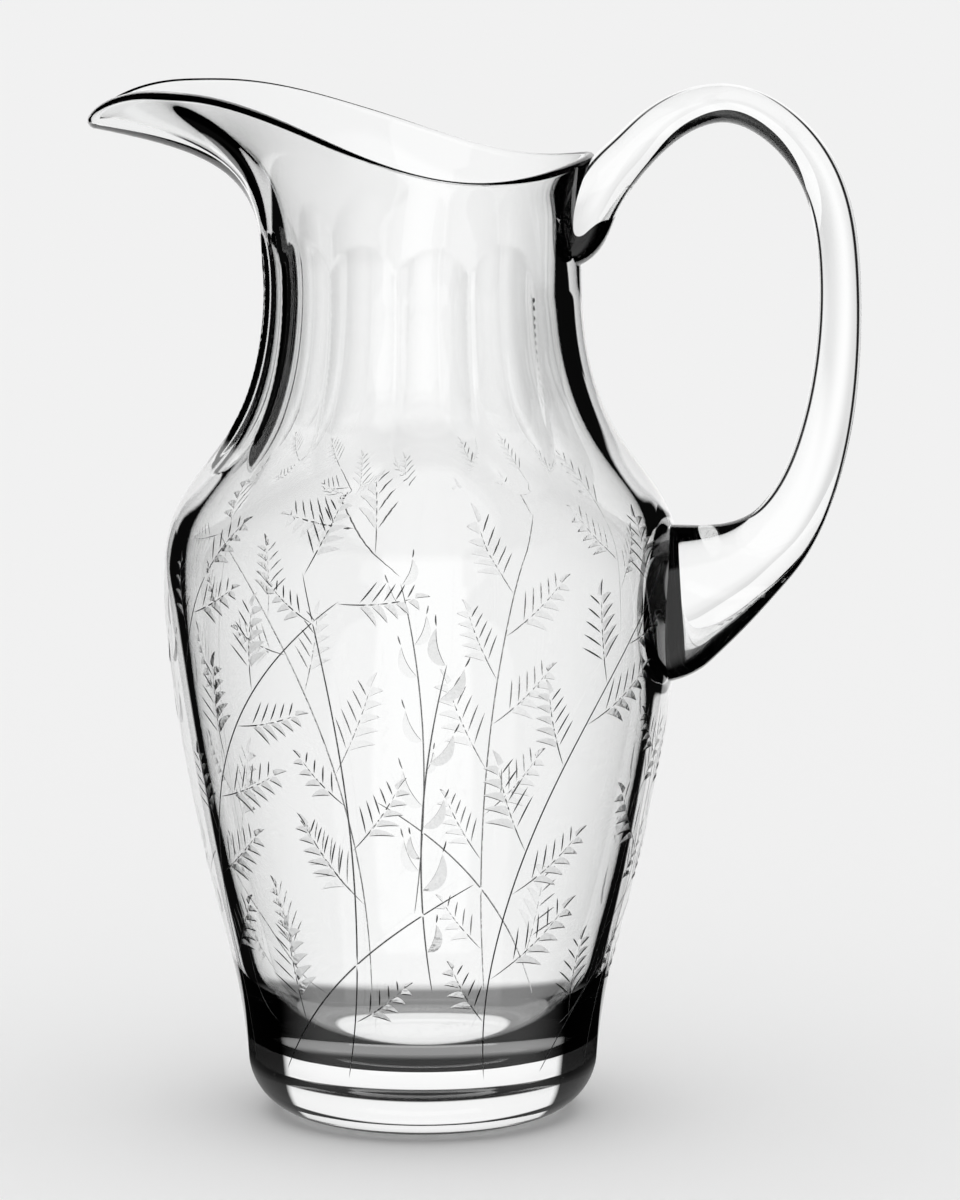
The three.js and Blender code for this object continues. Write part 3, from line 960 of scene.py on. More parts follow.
# %% Triangulate the sheet
SHEET_BLUR = 1e-3
result = delaunay_2d_cdt(
    [Vector(p) for p in sheet_points.tolist()], sheet_edges.tolist(), [], 0, 1e-4)
flat = np.array([v[:] for v in result[0]])
triangles = np.array(result[2])
source = np.array([ids[0] if ids else -1 for ids in result[3]])
depth = np.where(source >= 0, sheet_depths[np.maximum(source, 0)], 0.0)
place_of = np.full(len(sheet_points), -1)
known = np.array([(i, k) for k, ids in enumerate(result[3]) for i in ids])
place_of[known[:, 0]] = known[:, 1]
a, b, c = (flat[triangles[:, i]] for i in range(3))
area = (b[:, 0] - a[:, 0]) * (c[:, 1] - a[:, 1]) - (b[:, 1] - a[:, 1]) * (c[:, 0] - a[:, 0])
triangles = np.where((area < 0)[:, None], triangles[:, ::-1], triangles)
triangles = triangles[np.abs(area) > 1e-9]
print("outside triangles:", len(triangles), "points added at crossings:", int((source < 0).sum()))


# %% What each triangle is
def inside_loop(places, loop):
    """True for places inside a closed loop: a level line from the place to the right crosses the
    loop an odd number of times."""
    following = np.roll(loop, -1, axis=0)
    inside_it = np.zeros(len(places), bool)
    for p, q in zip(loop, following):
        straddles = (p[1] > places[:, 1]) != (q[1] > places[:, 1])
        rise = q[1] - p[1] if q[1] != p[1] else 1e-12
        cross_x = p[0] + (places[:, 1] - p[1]) * (q[0] - p[0]) / rise
        inside_it ^= straddles & (places[:, 0] < cross_x)
    return inside_it


centres = flat[triangles].mean(axis=1)
centre_angle, centre_level = from_sheet(centres)
centre_panel = panel_number(centre_angle)
in_panel = panel_excess(
    math.pi + np.arctan2(np.sin(centre_angle - math.pi), np.cos(centre_angle - math.pi)),
    centre_level, centre_panel) > 0
in_cut = (depth[triangles] > 0).any(axis=1)
in_joint = [inside_loop(centres, loop) for loop in joint_loops]
print("triangles in panels:", int(in_panel.sum()), "in cuts:", int(in_cut.sum()),
      "in joints:", [int(j.sum()) for j in in_joint])

# %% Points and normals of the outside
angle, level = from_sheet(flat)
angle = math.pi + np.arctan2(np.sin(angle - math.pi), np.cos(angle - math.pi))
outer_points, outer_normals = outside(angle, level)
number = panel_number(angle)
off = angle - math.pi - number * PANEL_PITCH
radius = np.hypot(outer_points[:, 0], outer_points[:, 1])
face = panel_face(number, outer_points[:, 2]) / np.cos(off)
cut_share = np.minimum(face / radius, 1)
outer_points = outer_points * np.stack([cut_share, cut_share, np.ones_like(cut_share)], axis=1)
outer_points = outer_points - outer_normals * depth[:, None]


def panel_normals(number, height):
    """Normals of the flats: outwards in the panel's middle direction, tilted by its slope."""
    slope = (panel_face(number, height + 0.05) - panel_face(number, height - 0.05)) / 0.1
    slope = np.where(np.abs(slope) < 5, slope, 0)
    middle = math.pi + number * PANEL_PITCH
    return unit(np.stack([np.cos(middle), np.sin(middle), -slope], axis=-1))


corner_normals = outer_normals[triangles]
corner_heights = np.clip(outer_points[triangles][..., 2], PANEL_BOTTOM + 0.1, PANEL_TOP - 0.1)
corner_panels = np.repeat(centre_panel[:, None], 3, axis=1)
corner_normals = np.where(
    in_panel[:, None, None], panel_normals(corner_panels, corner_heights), corner_normals)
edge_places = place_of[(np.array(panel_edge_starts)[:, None] + np.arange(PANEL_ROWS)).ravel()]
on_panel_edge = np.zeros(len(flat), bool)
on_panel_edge[edge_places] = True
summed = np.zeros((len(flat), 3))
np.add.at(summed, triangles.ravel(), corner_normals.reshape(-1, 3))
corner_normals = np.where(
    on_panel_edge[triangles][..., None], unit(summed)[triangles], corner_normals)
p0, p1, p2 = (outer_points[triangles[:, i]] for i in range(3))
flat_normals = unit(np.cross(p1 - p0, p2 - p0))
corner_normals = np.where(in_cut[:, None, None], flat_normals[:, None, :], corner_normals)
print("points on panel edges:", int(on_panel_edge.sum()), "deepest cut:", round(float(depth.max()), 2), "mm")

# %% Close the seam of the sheet
on_left = np.flatnonzero(flat[:, 0] < SHEET_BLUR)
on_right = np.flatnonzero(flat[:, 0] > SHEET_WIDTH - SHEET_BLUR)
on_left = on_left[np.argsort(flat[on_left, 1])]
on_right = on_right[np.argsort(flat[on_right, 1])]
same = np.arange(len(flat))
same[on_right] = on_left
triangles = same[triangles]
print("seam points:", len(on_left), len(on_right))

# %% [markdown]
# ## The lip, the inside and the foot
#
# The inside is the outside moved inwards by the glass's thickness, down to a rounded floor on a
# thick solid base. The wall swells a little behind the lower joint, where the hot handle was
# pressed on, and the lip is thickest at the spout's tip. The inside is a plain grid of rings, so
# it joins the lip's crest point for point. The foot's rounded edge and its flat underside close
# the mesh below.

# %% Rings of the inside
BELLY_WALL = 5.1
NECK_WALL = 6.2
BASE_THICKNESS = 16.0
FLOOR_FLAT = 20.0
CORNER_START = 38.0
CORNER_RINGS = 18
crest = np.flatnonzero((flat[:, 1] > SHEET_HEIGHT - SHEET_BLUR) & (flat[:, 0] < SHEET_WIDTH - SHEET_BLUR))
crest = crest[np.argsort(flat[crest, 0])]
crest_angles = from_sheet(flat[crest])[0]


def thickness(angle, level):
    """Glass thickness: even in the belly, a little more at the neck, and the lip's at the rim."""
    height = wall_at(np.clip(level, 0, 1) * NECK_SHARE)[..., 1]
    share = smoothstep((height - BELLY_HEIGHT) / (NECK_HEIGHT - BELLY_HEIGHT))
    low = between(BELLY_WALL, NECK_WALL, share)
    high = between(NECK_WALL, 2 * lip_half(angle), np.clip(level - 1, 0, 1))
    return np.where(level > 1, high, low)


JOINT_SWELL = 3.6
JOINT_SPREAD = 13.0
joint_middle = lower_loop.mean(axis=0)


def inside(angle, level):
    """Point on the inside: the outside point less thickness times the outward normal. Behind the
    lower joint the wall is thicker by a bell curve of the distance from the joint's middle."""
    edge, _, out = wall_frame(angle, level)
    apart = np.linalg.norm(edge - joint_middle, axis=-1) / JOINT_SPREAD
    thick = thickness(angle, np.asarray(level, float)) + JOINT_SWELL * np.exp(-apart**2)
    return edge - out * thick[..., None]


lip_levels = np.linspace(2.5, 3.0, 8)[1:]
lip_points, lip_normals = outside(crest_angles[None, :], lip_levels[:, None])
corner_level = float(level_at(np.float64(0), np.float64(CORNER_START)))
inside_levels = np.concatenate([
    np.linspace(2, 1, 28)[1:],
    np.linspace(1, corner_level, 80)[1:],
])
inside_points = inside(crest_angles[None, :], inside_levels[:, None])
corner_top = inside(np.float64(0), np.float64(corner_level))
corner_way = corner_top - inside(np.float64(0), np.float64(corner_level + 0.01))
corner_way = corner_way / np.linalg.norm(corner_way)
t = np.linspace(0, 1, CORNER_RINGS + 1)[1:]
curve_arm = 0.62 * (corner_top[2] - BASE_THICKNESS)
curve_r = np.array([
    corner_top[0], corner_top[0] + corner_way[0] * curve_arm,
    FLOOR_FLAT + 0.52 * (corner_top[0] - FLOOR_FLAT), FLOOR_FLAT])
curve_z = np.array([
    corner_top[2], corner_top[2] + corner_way[2] * curve_arm, BASE_THICKNESS, BASE_THICKNESS])
weights = np.stack([(1 - t) ** 3, 3 * t * (1 - t) ** 2, 3 * t * t * (1 - t), t**3], axis=1)
floor_r = np.concatenate([weights @ curve_r, FLOOR_FLAT * np.array([0.75, 0.5, 0.25])])
floor_z = np.concatenate([weights @ curve_z, np.full(3, BASE_THICKNESS)])
floor_points = turned(floor_r[:, None], crest_angles[None, :], floor_z[:, None])
inner_points = np.concatenate([lip_points, inside_points, floor_points])


def ring_normals(points):
    """Normals of a stack of closed rings: the way round crossed with the way to the next ring."""
    round_way = np.roll(points, -1, axis=1) - np.roll(points, 1, axis=1)
    return unit(np.cross(round_way, np.gradient(points, axis=0)))


inner_normals = ring_normals(inner_points)
inner_normals[: len(lip_levels)] = lip_normals
inner_normals[len(lip_levels) + len(inside_levels) + CORNER_RINGS - 1:] = (0, 0, 1)
print("rings inside:", len(inner_points), "of", len(crest_angles), "points")

# %% Rings of the foot
foot = np.flatnonzero((flat[:, 1] < SHEET_BLUR) & (flat[:, 0] < SHEET_WIDTH - SHEET_BLUR))
foot = foot[np.argsort(flat[foot, 0])]
foot_angles = from_sheet(flat[foot])[0]
bow = np.linspace(-FOOT_LEAN, -math.pi / 2, 15)[1:]
foot_r = np.concatenate([FOOT_FLAT + FOOT_CORNER * np.cos(bow), FOOT_FLAT * np.array([0.66, 0.33])])
foot_z = np.concatenate([FOOT_CORNER * (1 + np.sin(bow)), np.zeros(2)])
foot_points = turned(foot_r[:, None], foot_angles[None, :], foot_z[:, None])
bow_up = np.concatenate([np.sin(bow), [-1, -1]])
foot_normals = turned(np.sqrt(1 - bow_up**2)[:, None], foot_angles[None, :], bow_up[:, None])
print("rings of the foot:", len(foot_points), "resting on a flat of", FOOT_FLAT, "mm radius")


# %% Join all rings to the outside
def ring_triangles(first, start, rings, count, upwards):
    """Triangles between a given first ring, further rings numbered from start, and one middle
    point after them. Going downwards on the outside of the foot the order is turned round."""
    rows = np.concatenate([first[None, :], start + np.arange(rings * count).reshape(rings, count)])
    here, there = rows[:-1], rows[1:]
    here_next, there_next = np.roll(here, -1, axis=1), np.roll(there, -1, axis=1)
    faces = np.concatenate([
        np.stack([here, here_next, there_next], axis=-1).reshape(-1, 3),
        np.stack([here, there_next, there], axis=-1).reshape(-1, 3),
    ])
    last = rows[-1]
    pole = np.full(count, start + rings * count)
    faces = np.concatenate([faces, np.stack([last, np.roll(last, -1), pole], axis=-1)])
    return faces if upwards else faces[:, ::-1]


inner_start = len(flat)
inner_count = len(inner_points) * len(crest)
foot_start = inner_start + inner_count + 1
inner_triangles = ring_triangles(crest, inner_start, len(inner_points), len(crest), True)
foot_triangles = ring_triangles(foot, foot_start, len(foot_points), len(foot), False)
body_points = np.concatenate([
    outer_points,
    inner_points.reshape(-1, 3), [[0, 0, BASE_THICKNESS]],
    foot_points.reshape(-1, 3), [[0, 0, 0]],
])
body_normals = np.concatenate([
    outer_normals,
    inner_normals.reshape(-1, 3), [[0, 0, 1]],
    foot_normals.reshape(-1, 3), [[0, 0, -1]],
])
body_triangles = np.concatenate([triangles, inner_triangles, foot_triangles])
body_corners = np.concatenate([
    corner_normals, body_normals[inner_triangles], body_normals[foot_triangles]])
# Slots: the materials of the foot, the steep cuts and the joints hold painted shade.
FINISH_POLISHED, FINISH_CUT, JOINT_PAINTED_FILM_SLOT, STEEP_CUT_PAINTED_SHADE_SLOT, FOOT_PAINTED_SIDES_SLOT = 0, 1, 2, 3, 4
FOOT_GLASS_TOP = 42.0
STEEP_COSINE = 0.82
steep_cut = in_cut & ((flat_normals * outer_normals[triangles[:, 0]]).sum(axis=1) < STEEP_COSINE)
finish = np.zeros(len(body_triangles), int)
low_outside = outer_points[triangles][..., 2].max(axis=1) < FOOT_GLASS_TOP
finish[: len(triangles)][low_outside] = FOOT_PAINTED_SIDES_SLOT
finish[len(triangles) + len(inner_triangles):] = FOOT_PAINTED_SIDES_SLOT
finish[: len(triangles)][in_cut] = FINISH_CUT
finish[: len(triangles)][steep_cut] = STEEP_CUT_PAINTED_SHADE_SLOT
for joint in in_joint:
    finish[: len(triangles)][joint] = JOINT_PAINTED_FILM_SLOT
print("body triangles:", len(body_triangles), "steep cut faces:", int(steep_cut.sum()))


# %% Meshes from arrays
def solid_piece(name, points, faces, corners, finishes, materials):
    """A mesh object from millimetre points and triangles, with a given normal for each corner."""
    used = np.unique(faces)
    renumber = np.full(len(points), -1)
    renumber[used] = np.arange(len(used))
    faces = renumber[faces]
    mesh = bpy.data.meshes.new(name)
    mesh.vertices.add(len(used))
    mesh.vertices.foreach_set("co", (points[used] * MM).ravel())
    mesh.loops.add(faces.size)
    mesh.loops.foreach_set("vertex_index", faces.ravel())
    mesh.polygons.add(len(faces))
    mesh.polygons.foreach_set("loop_start", np.arange(0, faces.size, 3))
    mesh.polygons.foreach_set("use_smooth", np.ones(len(faces), bool))
    for material in materials:
        mesh.materials.append(material)
    mesh.polygons.foreach_set("material_index", finishes)
    mesh.update(calc_edges=True)
    mesh.normals_split_custom_set(corners.reshape(-1, 3).tolist())
    piece = bpy.data.objects.new(name, mesh)
    scene.collection.objects.link(piece)
    edges = np.sort(np.concatenate([faces[:, [0, 1]], faces[:, [1, 2]], faces[:, [2, 0]]]), axis=1)
    uses = np.unique(edges[:, 0].astype(np.int64) * len(used) + edges[:, 1], return_counts=True)[1]
    print(name, "points", len(used), "triangles", len(faces), "open edges", int((uses != 2).sum()))
    return piece


# %% [markdown]
# ## Glass
#
# Polished crystal lets nearly all light through and bends it. Its own detail is small: the wall
# of hand-made glass is never quite even, so a slow, faint ripple moves the lines seen through it.
# The wheel cuts are left grey from the grit on their shallow sides; their steep sides look dark,
# and that is painted shade, a near-black tint. Seen from inside, both get a paler grey, which is
# painted light. At the two joints the glass of handle and body is fused, so nothing bends the light
# there, but the join shows as a dark lens when it is seen aslant. That dark lens is painted shade:
# a near-black film of which only a share is there, more of it aslant and from inside. The thick
# foot and the rod also get painted shade, a black tint where their upright sides turn away from
# the eye.

# %% A ripple that both glasses share
ripple = bpy.data.node_groups.new("glass_ripple", "ShaderNodeTree")
ripple.interface.new_socket("Scale", in_out="INPUT", socket_type="NodeSocketFloat")
ripple.interface.new_socket("Height", in_out="OUTPUT", socket_type="NodeSocketFloat")
ripple.interface.new_socket("Tint", in_out="OUTPUT", socket_type="NodeSocketColor")
group_in = ripple.nodes.new("NodeGroupInput")
group_out = ripple.nodes.new("NodeGroupOutput")
ripple_place = ripple.nodes.new("ShaderNodeTexCoord")
ripple_noise = ripple.nodes.new("ShaderNodeTexNoise")
ripple_noise.inputs["Detail"].default_value = 1.0
ripple_tint = ripple.nodes.new("ShaderNodeMix")
ripple_tint.data_type = "RGBA"
ripple_tint.inputs["A"].default_value = (0.985, 0.99, 0.988, 1)
ripple_tint.inputs["B"].default_value = (1.0, 1.0, 1.0, 1)
ripple.links.new(ripple_place.outputs["Object"], ripple_noise.inputs["Vector"])
ripple.links.new(group_in.outputs["Scale"], ripple_noise.inputs["Scale"])
ripple.links.new(ripple_noise.outputs["Fac"], group_out.inputs["Height"])
ripple.links.new(ripple_noise.outputs["Fac"], ripple_tint.inputs["Factor"])
ripple.links.new(ripple_tint.outputs["Result"], group_out.inputs["Tint"])
print("ripple group with", len(ripple.nodes), "nodes")


# %% Node arithmetic
def math_node(tree, operation, first, second=None):
    """A Math node with links or plain numbers as its inputs; returns its output."""
    node = tree.nodes.new("ShaderNodeMath")
    node.operation = operation
    for socket, value in zip(node.inputs, (first, second)):
        if isinstance(value, (int, float)):
            socket.default_value = value
        elif value is not None:
            tree.links.new(value, socket)
    return node.outputs["Value"]


def ramp(tree, value, low, high, at_low, at_high):
    """A smooth change from one number to another while the value goes from low to high."""
    node = tree.nodes.new("ShaderNodeMapRange")
    node.interpolation_type = "SMOOTHSTEP"
    tree.links.new(value, node.inputs["Value"])
    node.inputs["From Min"].default_value = low
    node.inputs["From Max"].default_value = high
    node.inputs["To Min"].default_value = at_low
    node.inputs["To Max"].default_value = at_high
    return node.outputs["Result"]


def mixed(tree, factor, first, second):
    """first * (1 - factor) + second * factor, for plain numbers or links."""
    node = tree.nodes.new("ShaderNodeMix")
    tree.links.new(factor, node.inputs["Factor"])
    for socket, value in ((node.inputs["A"], first), (node.inputs["B"], second)):
        if isinstance(value, (int, float)):
            socket.default_value = value
        else:
            tree.links.new(value, socket)
    return node.outputs["Result"]


# %% Clear glass
def glass(name, scale, strength, roughness):
    """A clear glass whose normal is moved by the ripple."""
    material = bpy.data.materials.new(name)
    material.use_nodes = True
    nodes, links = material.node_tree.nodes, material.node_tree.links
    shader = nodes["Principled BSDF"]
    shader.inputs["Transmission Weight"].default_value = 1.0
    shader.inputs["Roughness"].default_value = roughness
    shader.inputs["IOR"].default_value = 1.52
    wave = nodes.new("ShaderNodeGroup")
    wave.node_tree = ripple
    wave.inputs["Scale"].default_value = scale
    bump = nodes.new("ShaderNodeBump")
    bump.inputs["Strength"].default_value = strength
    bump.inputs["Distance"].default_value = 0.002
    links.new(wave.outputs["Height"], bump.inputs["Height"])
    links.new(wave.outputs["Tint"], shader.inputs["Base Color"])
    links.new(bump.outputs["Normal"], shader.inputs["Normal"])
    return material


# %% Painted shade on upright sides, grit grey and painted shade on ground faces
# Painted shade: the near-black tint given to the upright sides of the rod and the foot.
PAINTED_SIDE_TONE = 0.0003
CLEARS_OVER = 0.08
UPRIGHT_FROM = 0.25
UPRIGHT_TO = 0.5


def paint_side_shade(material, low, high, last, top, bottom):
    """Painted shade: turn a glass's tint black where its upright sides turn away from the eye,
    in place of the dark sides of a room that the thick edge of real glass shows. The facing of
    the level normal goes from low to high; past last it is clear again. The effect fades with
    the height between top and bottom."""
    nodes, links = material.node_tree.nodes, material.node_tree.links
    shader = nodes["Principled BSDF"]
    tint = shader.inputs["Base Color"].links[0].from_socket
    geometry = nodes.new("ShaderNodeNewGeometry")
    level = nodes.new("ShaderNodeVectorMath")
    level.operation = "MULTIPLY"
    level.inputs[1].default_value = (1, 1, 0)
    links.new(geometry.outputs["Normal"], level.inputs[0])
    whole = nodes.new("ShaderNodeVectorMath")
    whole.operation = "NORMALIZE"
    links.new(level.outputs["Vector"], whole.inputs[0])
    length = nodes.new("ShaderNodeVectorMath")
    length.operation = "LENGTH"
    links.new(level.outputs["Vector"], length.inputs[0])
    aslant = nodes.new("ShaderNodeLayerWeight")
    aslant.inputs["Blend"].default_value = 0.5
    links.new(whole.outputs["Vector"], aslant.inputs["Normal"])
    place = nodes.new("ShaderNodeTexCoord")
    parts = nodes.new("ShaderNodeSeparateXYZ")
    links.new(place.outputs["Object"], parts.inputs["Vector"])
    tree = material.node_tree
    mask = ramp(tree, aslant.outputs["Facing"], low, high, 0.0, 1.0)
    factors = (
        ramp(tree, aslant.outputs["Facing"], last, last + CLEARS_OVER, 1.0, 0.0),
        ramp(tree, length.outputs["Value"], UPRIGHT_FROM, UPRIGHT_TO, 0.0, 1.0),
        ramp(tree, parts.outputs["Z"], bottom, top, 1.0, 0.0),
        math_node(tree, "SUBTRACT", 1.0, geometry.outputs["Backfacing"]),
    )
    for factor in factors:
        mask = math_node(tree, "MULTIPLY", mask, factor)
    dark = nodes.new("ShaderNodeMix")
    dark.data_type = "RGBA"
    dark.inputs["B"].default_value = (PAINTED_SIDE_TONE, PAINTED_SIDE_TONE, PAINTED_SIDE_TONE, 1)
    links.new(mask, dark.inputs["Factor"])
    links.new(tint, dark.inputs["A"])
    links.new(dark.outputs["Result"], shader.inputs["Base Color"])


def grit_grey_and_painted_shade(material, grey, from_inside):
    """Multiply a glass's tint by a grey: the grit's own grey where it is pale, painted shade where
    it is near black. Seen from inside the glass, as on the far wall, the face gets a paler grey,
    which is painted light."""
    nodes, links = material.node_tree.nodes, material.node_tree.links
    shader = nodes["Principled BSDF"]
    tint = shader.inputs["Base Color"].links[0].from_socket
    geometry = nodes.new("ShaderNodeNewGeometry")
    product = nodes.new("ShaderNodeMix")
    product.data_type = "RGBA"
    product.blend_type = "MULTIPLY"
    product.inputs["Factor"].default_value = 1.0
    tone = mixed(material.node_tree, geometry.outputs["Backfacing"], grey, from_inside)
    links.new(tone, product.inputs["B"])
    links.new(tint, product.inputs["A"])
    links.new(product.outputs["Result"], shader.inputs["Base Color"])


# %% The glasses of this pitcher, some with painted shade
polished_glass = glass("polished_crystal", scale=22.0, strength=0.02, roughness=0.0)
rod_glass = glass("drawn_crystal_painted_sides", scale=30.0, strength=0.03, roughness=0.0)
# The rod's upright sides get painted shade.
paint_side_shade(rod_glass, low=0.44, high=0.5, last=0.62, top=0.5, bottom=0.4)
foot_glass = glass("foot_crystal_painted_sides", scale=22.0, strength=0.02, roughness=0.0)
# The foot's upright sides get painted shade.
paint_side_shade(foot_glass, low=0.36, high=0.41, last=1.2, top=0.042, bottom=0.026)
cut_glass = glass("wheel_cut_grey", scale=900.0, strength=0.25, roughness=0.32)
grit_grey_and_painted_shade(cut_glass, grey=0.84, from_inside=0.97)
# The steep sides of the cuts are painted shade: near black outside, a paler grey inside.
steep_cut_painted_shade = glass("wheel_cut_steep_painted_shade", scale=900.0, strength=0.25, roughness=0.42)
grit_grey_and_painted_shade(steep_cut_painted_shade, grey=0.035, from_inside=0.7)
print("finishes:", [m.name for m in (polished_glass, rod_glass, foot_glass, cut_glass, steep_cut_painted_shade)])

# %% The fused joints and their painted shade film
# Painted shade: the near-black tone of the joints' film.
PAINTED_FILM_TONE = 0.003
ROD_END_PAINTED_FILM_SHARE = 0.05
ASLANT_FROM = 0.5
ASLANT_TO = 0.8


def fused(name):
    """The face between handle and body: it bends nothing and holds back light by a near-black film, which is
    painted shade.
    """
    material = glass(name, scale=22.0, strength=0.0, roughness=0.6)
    shader = material.node_tree.nodes["Principled BSDF"]
    shader.inputs["Transmission Weight"].default_value = 0.0
    shader.inputs["Specular IOR Level"].default_value = 0.0
    grit_grey_and_painted_shade(material, grey=PAINTED_FILM_TONE, from_inside=PAINTED_FILM_TONE)
    return material


def painted_film_share(material, straight, aslant, from_inside):
    """Share of the painted shade film that a joint face shows: seen straight, aslant, and from inside."""
    tree = material.node_tree
    geometry = tree.nodes.new("ShaderNodeNewGeometry")
    turned_away = tree.nodes.new("ShaderNodeLayerWeight")
    turned_away.inputs["Blend"].default_value = 0.5
    held = ramp(tree, turned_away.outputs["Facing"], ASLANT_FROM, ASLANT_TO, straight, aslant)
    held = mixed(tree, geometry.outputs["Backfacing"], held, from_inside)
    tree.links.new(held, tree.nodes["Principled BSDF"].inputs["Alpha"])


joint_painted_film = fused("fused_joint_painted_film")
painted_film_share(joint_painted_film, straight=0.12, aslant=0.85, from_inside=0.95)
rod_end_painted_film = fused("fused_rod_end_painted_film")
# The rod's ends keep a small share of the painted shade film.
rod_end_painted_film.node_tree.nodes["Principled BSDF"].inputs["Alpha"].default_value = ROD_END_PAINTED_FILM_SHARE
print("joint faces:", joint_painted_film.name, "and", rod_end_painted_film.name)

# %% The body
glass_body = solid_piece(
    "crystal_body", body_points, body_triangles, body_corners, finish,
    [polished_glass, cut_glass, joint_painted_film, steep_cut_painted_shade, foot_glass])
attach(glass_body, "root")
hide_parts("glass_body")

# %% [markdown]
# ## The handle as a closed piece
#
# The rod's lines run from one joint to the other. Each end is closed by the same triangles that
# the body has there, turned to face the other way, so the two pieces touch all over the joint.

# %% Skin and ends of the rod
ROD_RINGS = 240
share_rows = between(upper_share[None, :], lower_share[None, :], np.linspace(0, 1, ROD_RINGS)[:, None])
rod_points = rod(share_rows, rod_turns[None, :])
rod_normals = rod_normal(share_rows, rod_turns[None, :])
rows = np.arange(ROD_RINGS * HANDLE_LINES).reshape(ROD_RINGS, HANDLE_LINES)
here, there = rows[:-1], rows[1:]
here_next, there_next = np.roll(here, -1, axis=1), np.roll(there, -1, axis=1)
rod_faces = np.concatenate([
    np.stack([here, here_next, there_next], axis=-1).reshape(-1, 3),
    np.stack([here, there_next, there], axis=-1).reshape(-1, 3),
])
middle_row = rod_points[ROD_RINGS // 2]
middle_normals = rod_normals[ROD_RINGS // 2]
outward = ((middle_row - middle_row.mean(axis=0)) * middle_normals).sum(axis=1).mean()
rod_normals = rod_normals * np.sign(outward)
face_corners = rod_points.reshape(-1, 3)[rod_faces]
face_ways = np.cross(
    face_corners[:, 1] - face_corners[:, 0], face_corners[:, 2] - face_corners[:, 0])
if (face_ways * rod_normals.reshape(-1, 3)[rod_faces[:, 0]]).sum() < 0:
    rod_faces = rod_faces[:, ::-1]
end_faces = []
end_corners = []
body_to_rod = np.arange(len(flat)) + ROD_RINGS * HANDLE_LINES
for joint, first, ring in ((in_joint[0], loop_starts[0], 0), (in_joint[1], loop_starts[1], ROD_RINGS - 1)):
    numbering = body_to_rod.copy()
    numbering[place_of[first + np.arange(HANDLE_LINES)]] = rows[ring]
    end_faces.append(numbering[triangles[joint]][:, ::-1])
    end_corners.append(-corner_normals[joint][:, ::-1])
handle_points = np.concatenate([rod_points.reshape(-1, 3), outer_points])
handle_faces = np.concatenate([rod_faces] + end_faces)
handle_corners = np.concatenate([rod_normals.reshape(-1, 3)[rod_faces]] + end_corners)
handle_finish = np.zeros(len(handle_faces), int)
handle_finish[len(rod_faces):] = 1
handle = solid_piece(
    "crystal_handle", handle_points, handle_faces, handle_corners, handle_finish,
    [rod_glass, rod_end_painted_film])
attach(handle, "root")
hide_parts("handle")

# %% [markdown]
# ## Floor and light
#
# Clear glass is photographed on white in a room that is dark elsewhere. Light that comes straight
# through it comes from the white ground and the white wall. Light that was thrown back inside the
# glass comes from the sides of the room, which are dark, and that draws the black lines along the
# edges. It could all be built from cards and lamps. Here the floor, the card and the world ask the
# Light Path node what has happened to a ray and answer with white or dark, because that leaves the
# floor's own light plain and soft. The room has a middle line from front to back; angles from it
# say where it is white. A broad white sheet in front is seen only by faces that mirror it on their
# outside. All of it stands still when the camera moves.

# %% What the glass sees
WHITE_HALF = math.radians(22)
WHITE_EDGE = math.radians(1.5)
NEAR_HALF = math.radians(43)
FAR_HALF = math.radians(20)
HIGH_HALF = math.radians(30)
MIRROR_FROM = math.radians(45)
MIRROR_TO = math.radians(85)
DARK = 0.003
STRIPES = 8.0
ONCE = 0.5
OFTEN = 2.5


def along_and_across(tree, x, y):
    """Parts of a direction along the room's middle line, to the back, and across it."""
    facing = math.pi / 2 + CAMERA_TURN
    ahead, aside = math.cos(facing), math.sin(facing)
    along = math_node(
        tree, "ADD", math_node(tree, "MULTIPLY", x, ahead), math_node(tree, "MULTIPLY", y, aside))
    across = math_node(
        tree, "SUBTRACT", math_node(tree, "MULTIPLY", y, ahead), math_node(tree, "MULTIPLY", x, aside))
    return along, math_node(tree, "ABSOLUTE", across)


def off_axis(tree, x, y):
    """Angle between a direction and the room's middle line, from 0 to a quarter turn."""
    along, across = along_and_across(tree, x, y)
    return math_node(tree, "ARCTAN2", across, math_node(tree, "ABSOLUTE", along))


def white_ahead(tree, spread, half):
    """1 within half an angle of the room's middle line, else dark."""
    return ramp(tree, math_node(tree, "SUBTRACT", spread, half), -WHITE_EDGE, WHITE_EDGE, 1.0, DARK)


def white_in_front(tree, path_node, x, y, ahead):
    """The white ahead, and for faces that mirror the room on their outside also a broad white sheet
    in front that fades out to the sides."""
    along, across = along_and_across(tree, x, y)
    from_front = math_node(tree, "ARCTAN2", across, math_node(tree, "MULTIPLY", along, -1.0))
    front_white = ramp(tree, from_front, MIRROR_FROM, MIRROR_TO, 1.0, 0.0)
    outside_only = math_node(tree, "LESS_THAN", path_node.outputs["Transmission Depth"], ONCE)
    return math_node(tree, "MAXIMUM", ahead, math_node(tree, "MULTIPLY", outside_only, front_white))


def seen_through_glass(tree, path_node):
    """Masks: the ray left the glass without having been scattered by the floor; it was thrown back
    at least once on its way; it was thrown back so often that little of it is left."""
    passed = math_node(
        tree, "MAXIMUM", path_node.outputs["Is Transmission Ray"], path_node.outputs["Is Glossy Ray"])
    direct = math_node(tree, "LESS_THAN", path_node.outputs["Diffuse Depth"], ONCE)
    thrown = math_node(tree, "GREATER_THAN", path_node.outputs["Glossy Depth"], ONCE)
    spent = math_node(tree, "GREATER_THAN", path_node.outputs["Glossy Depth"], OFTEN)
    return math_node(tree, "MULTIPLY", passed, direct), thrown, spent


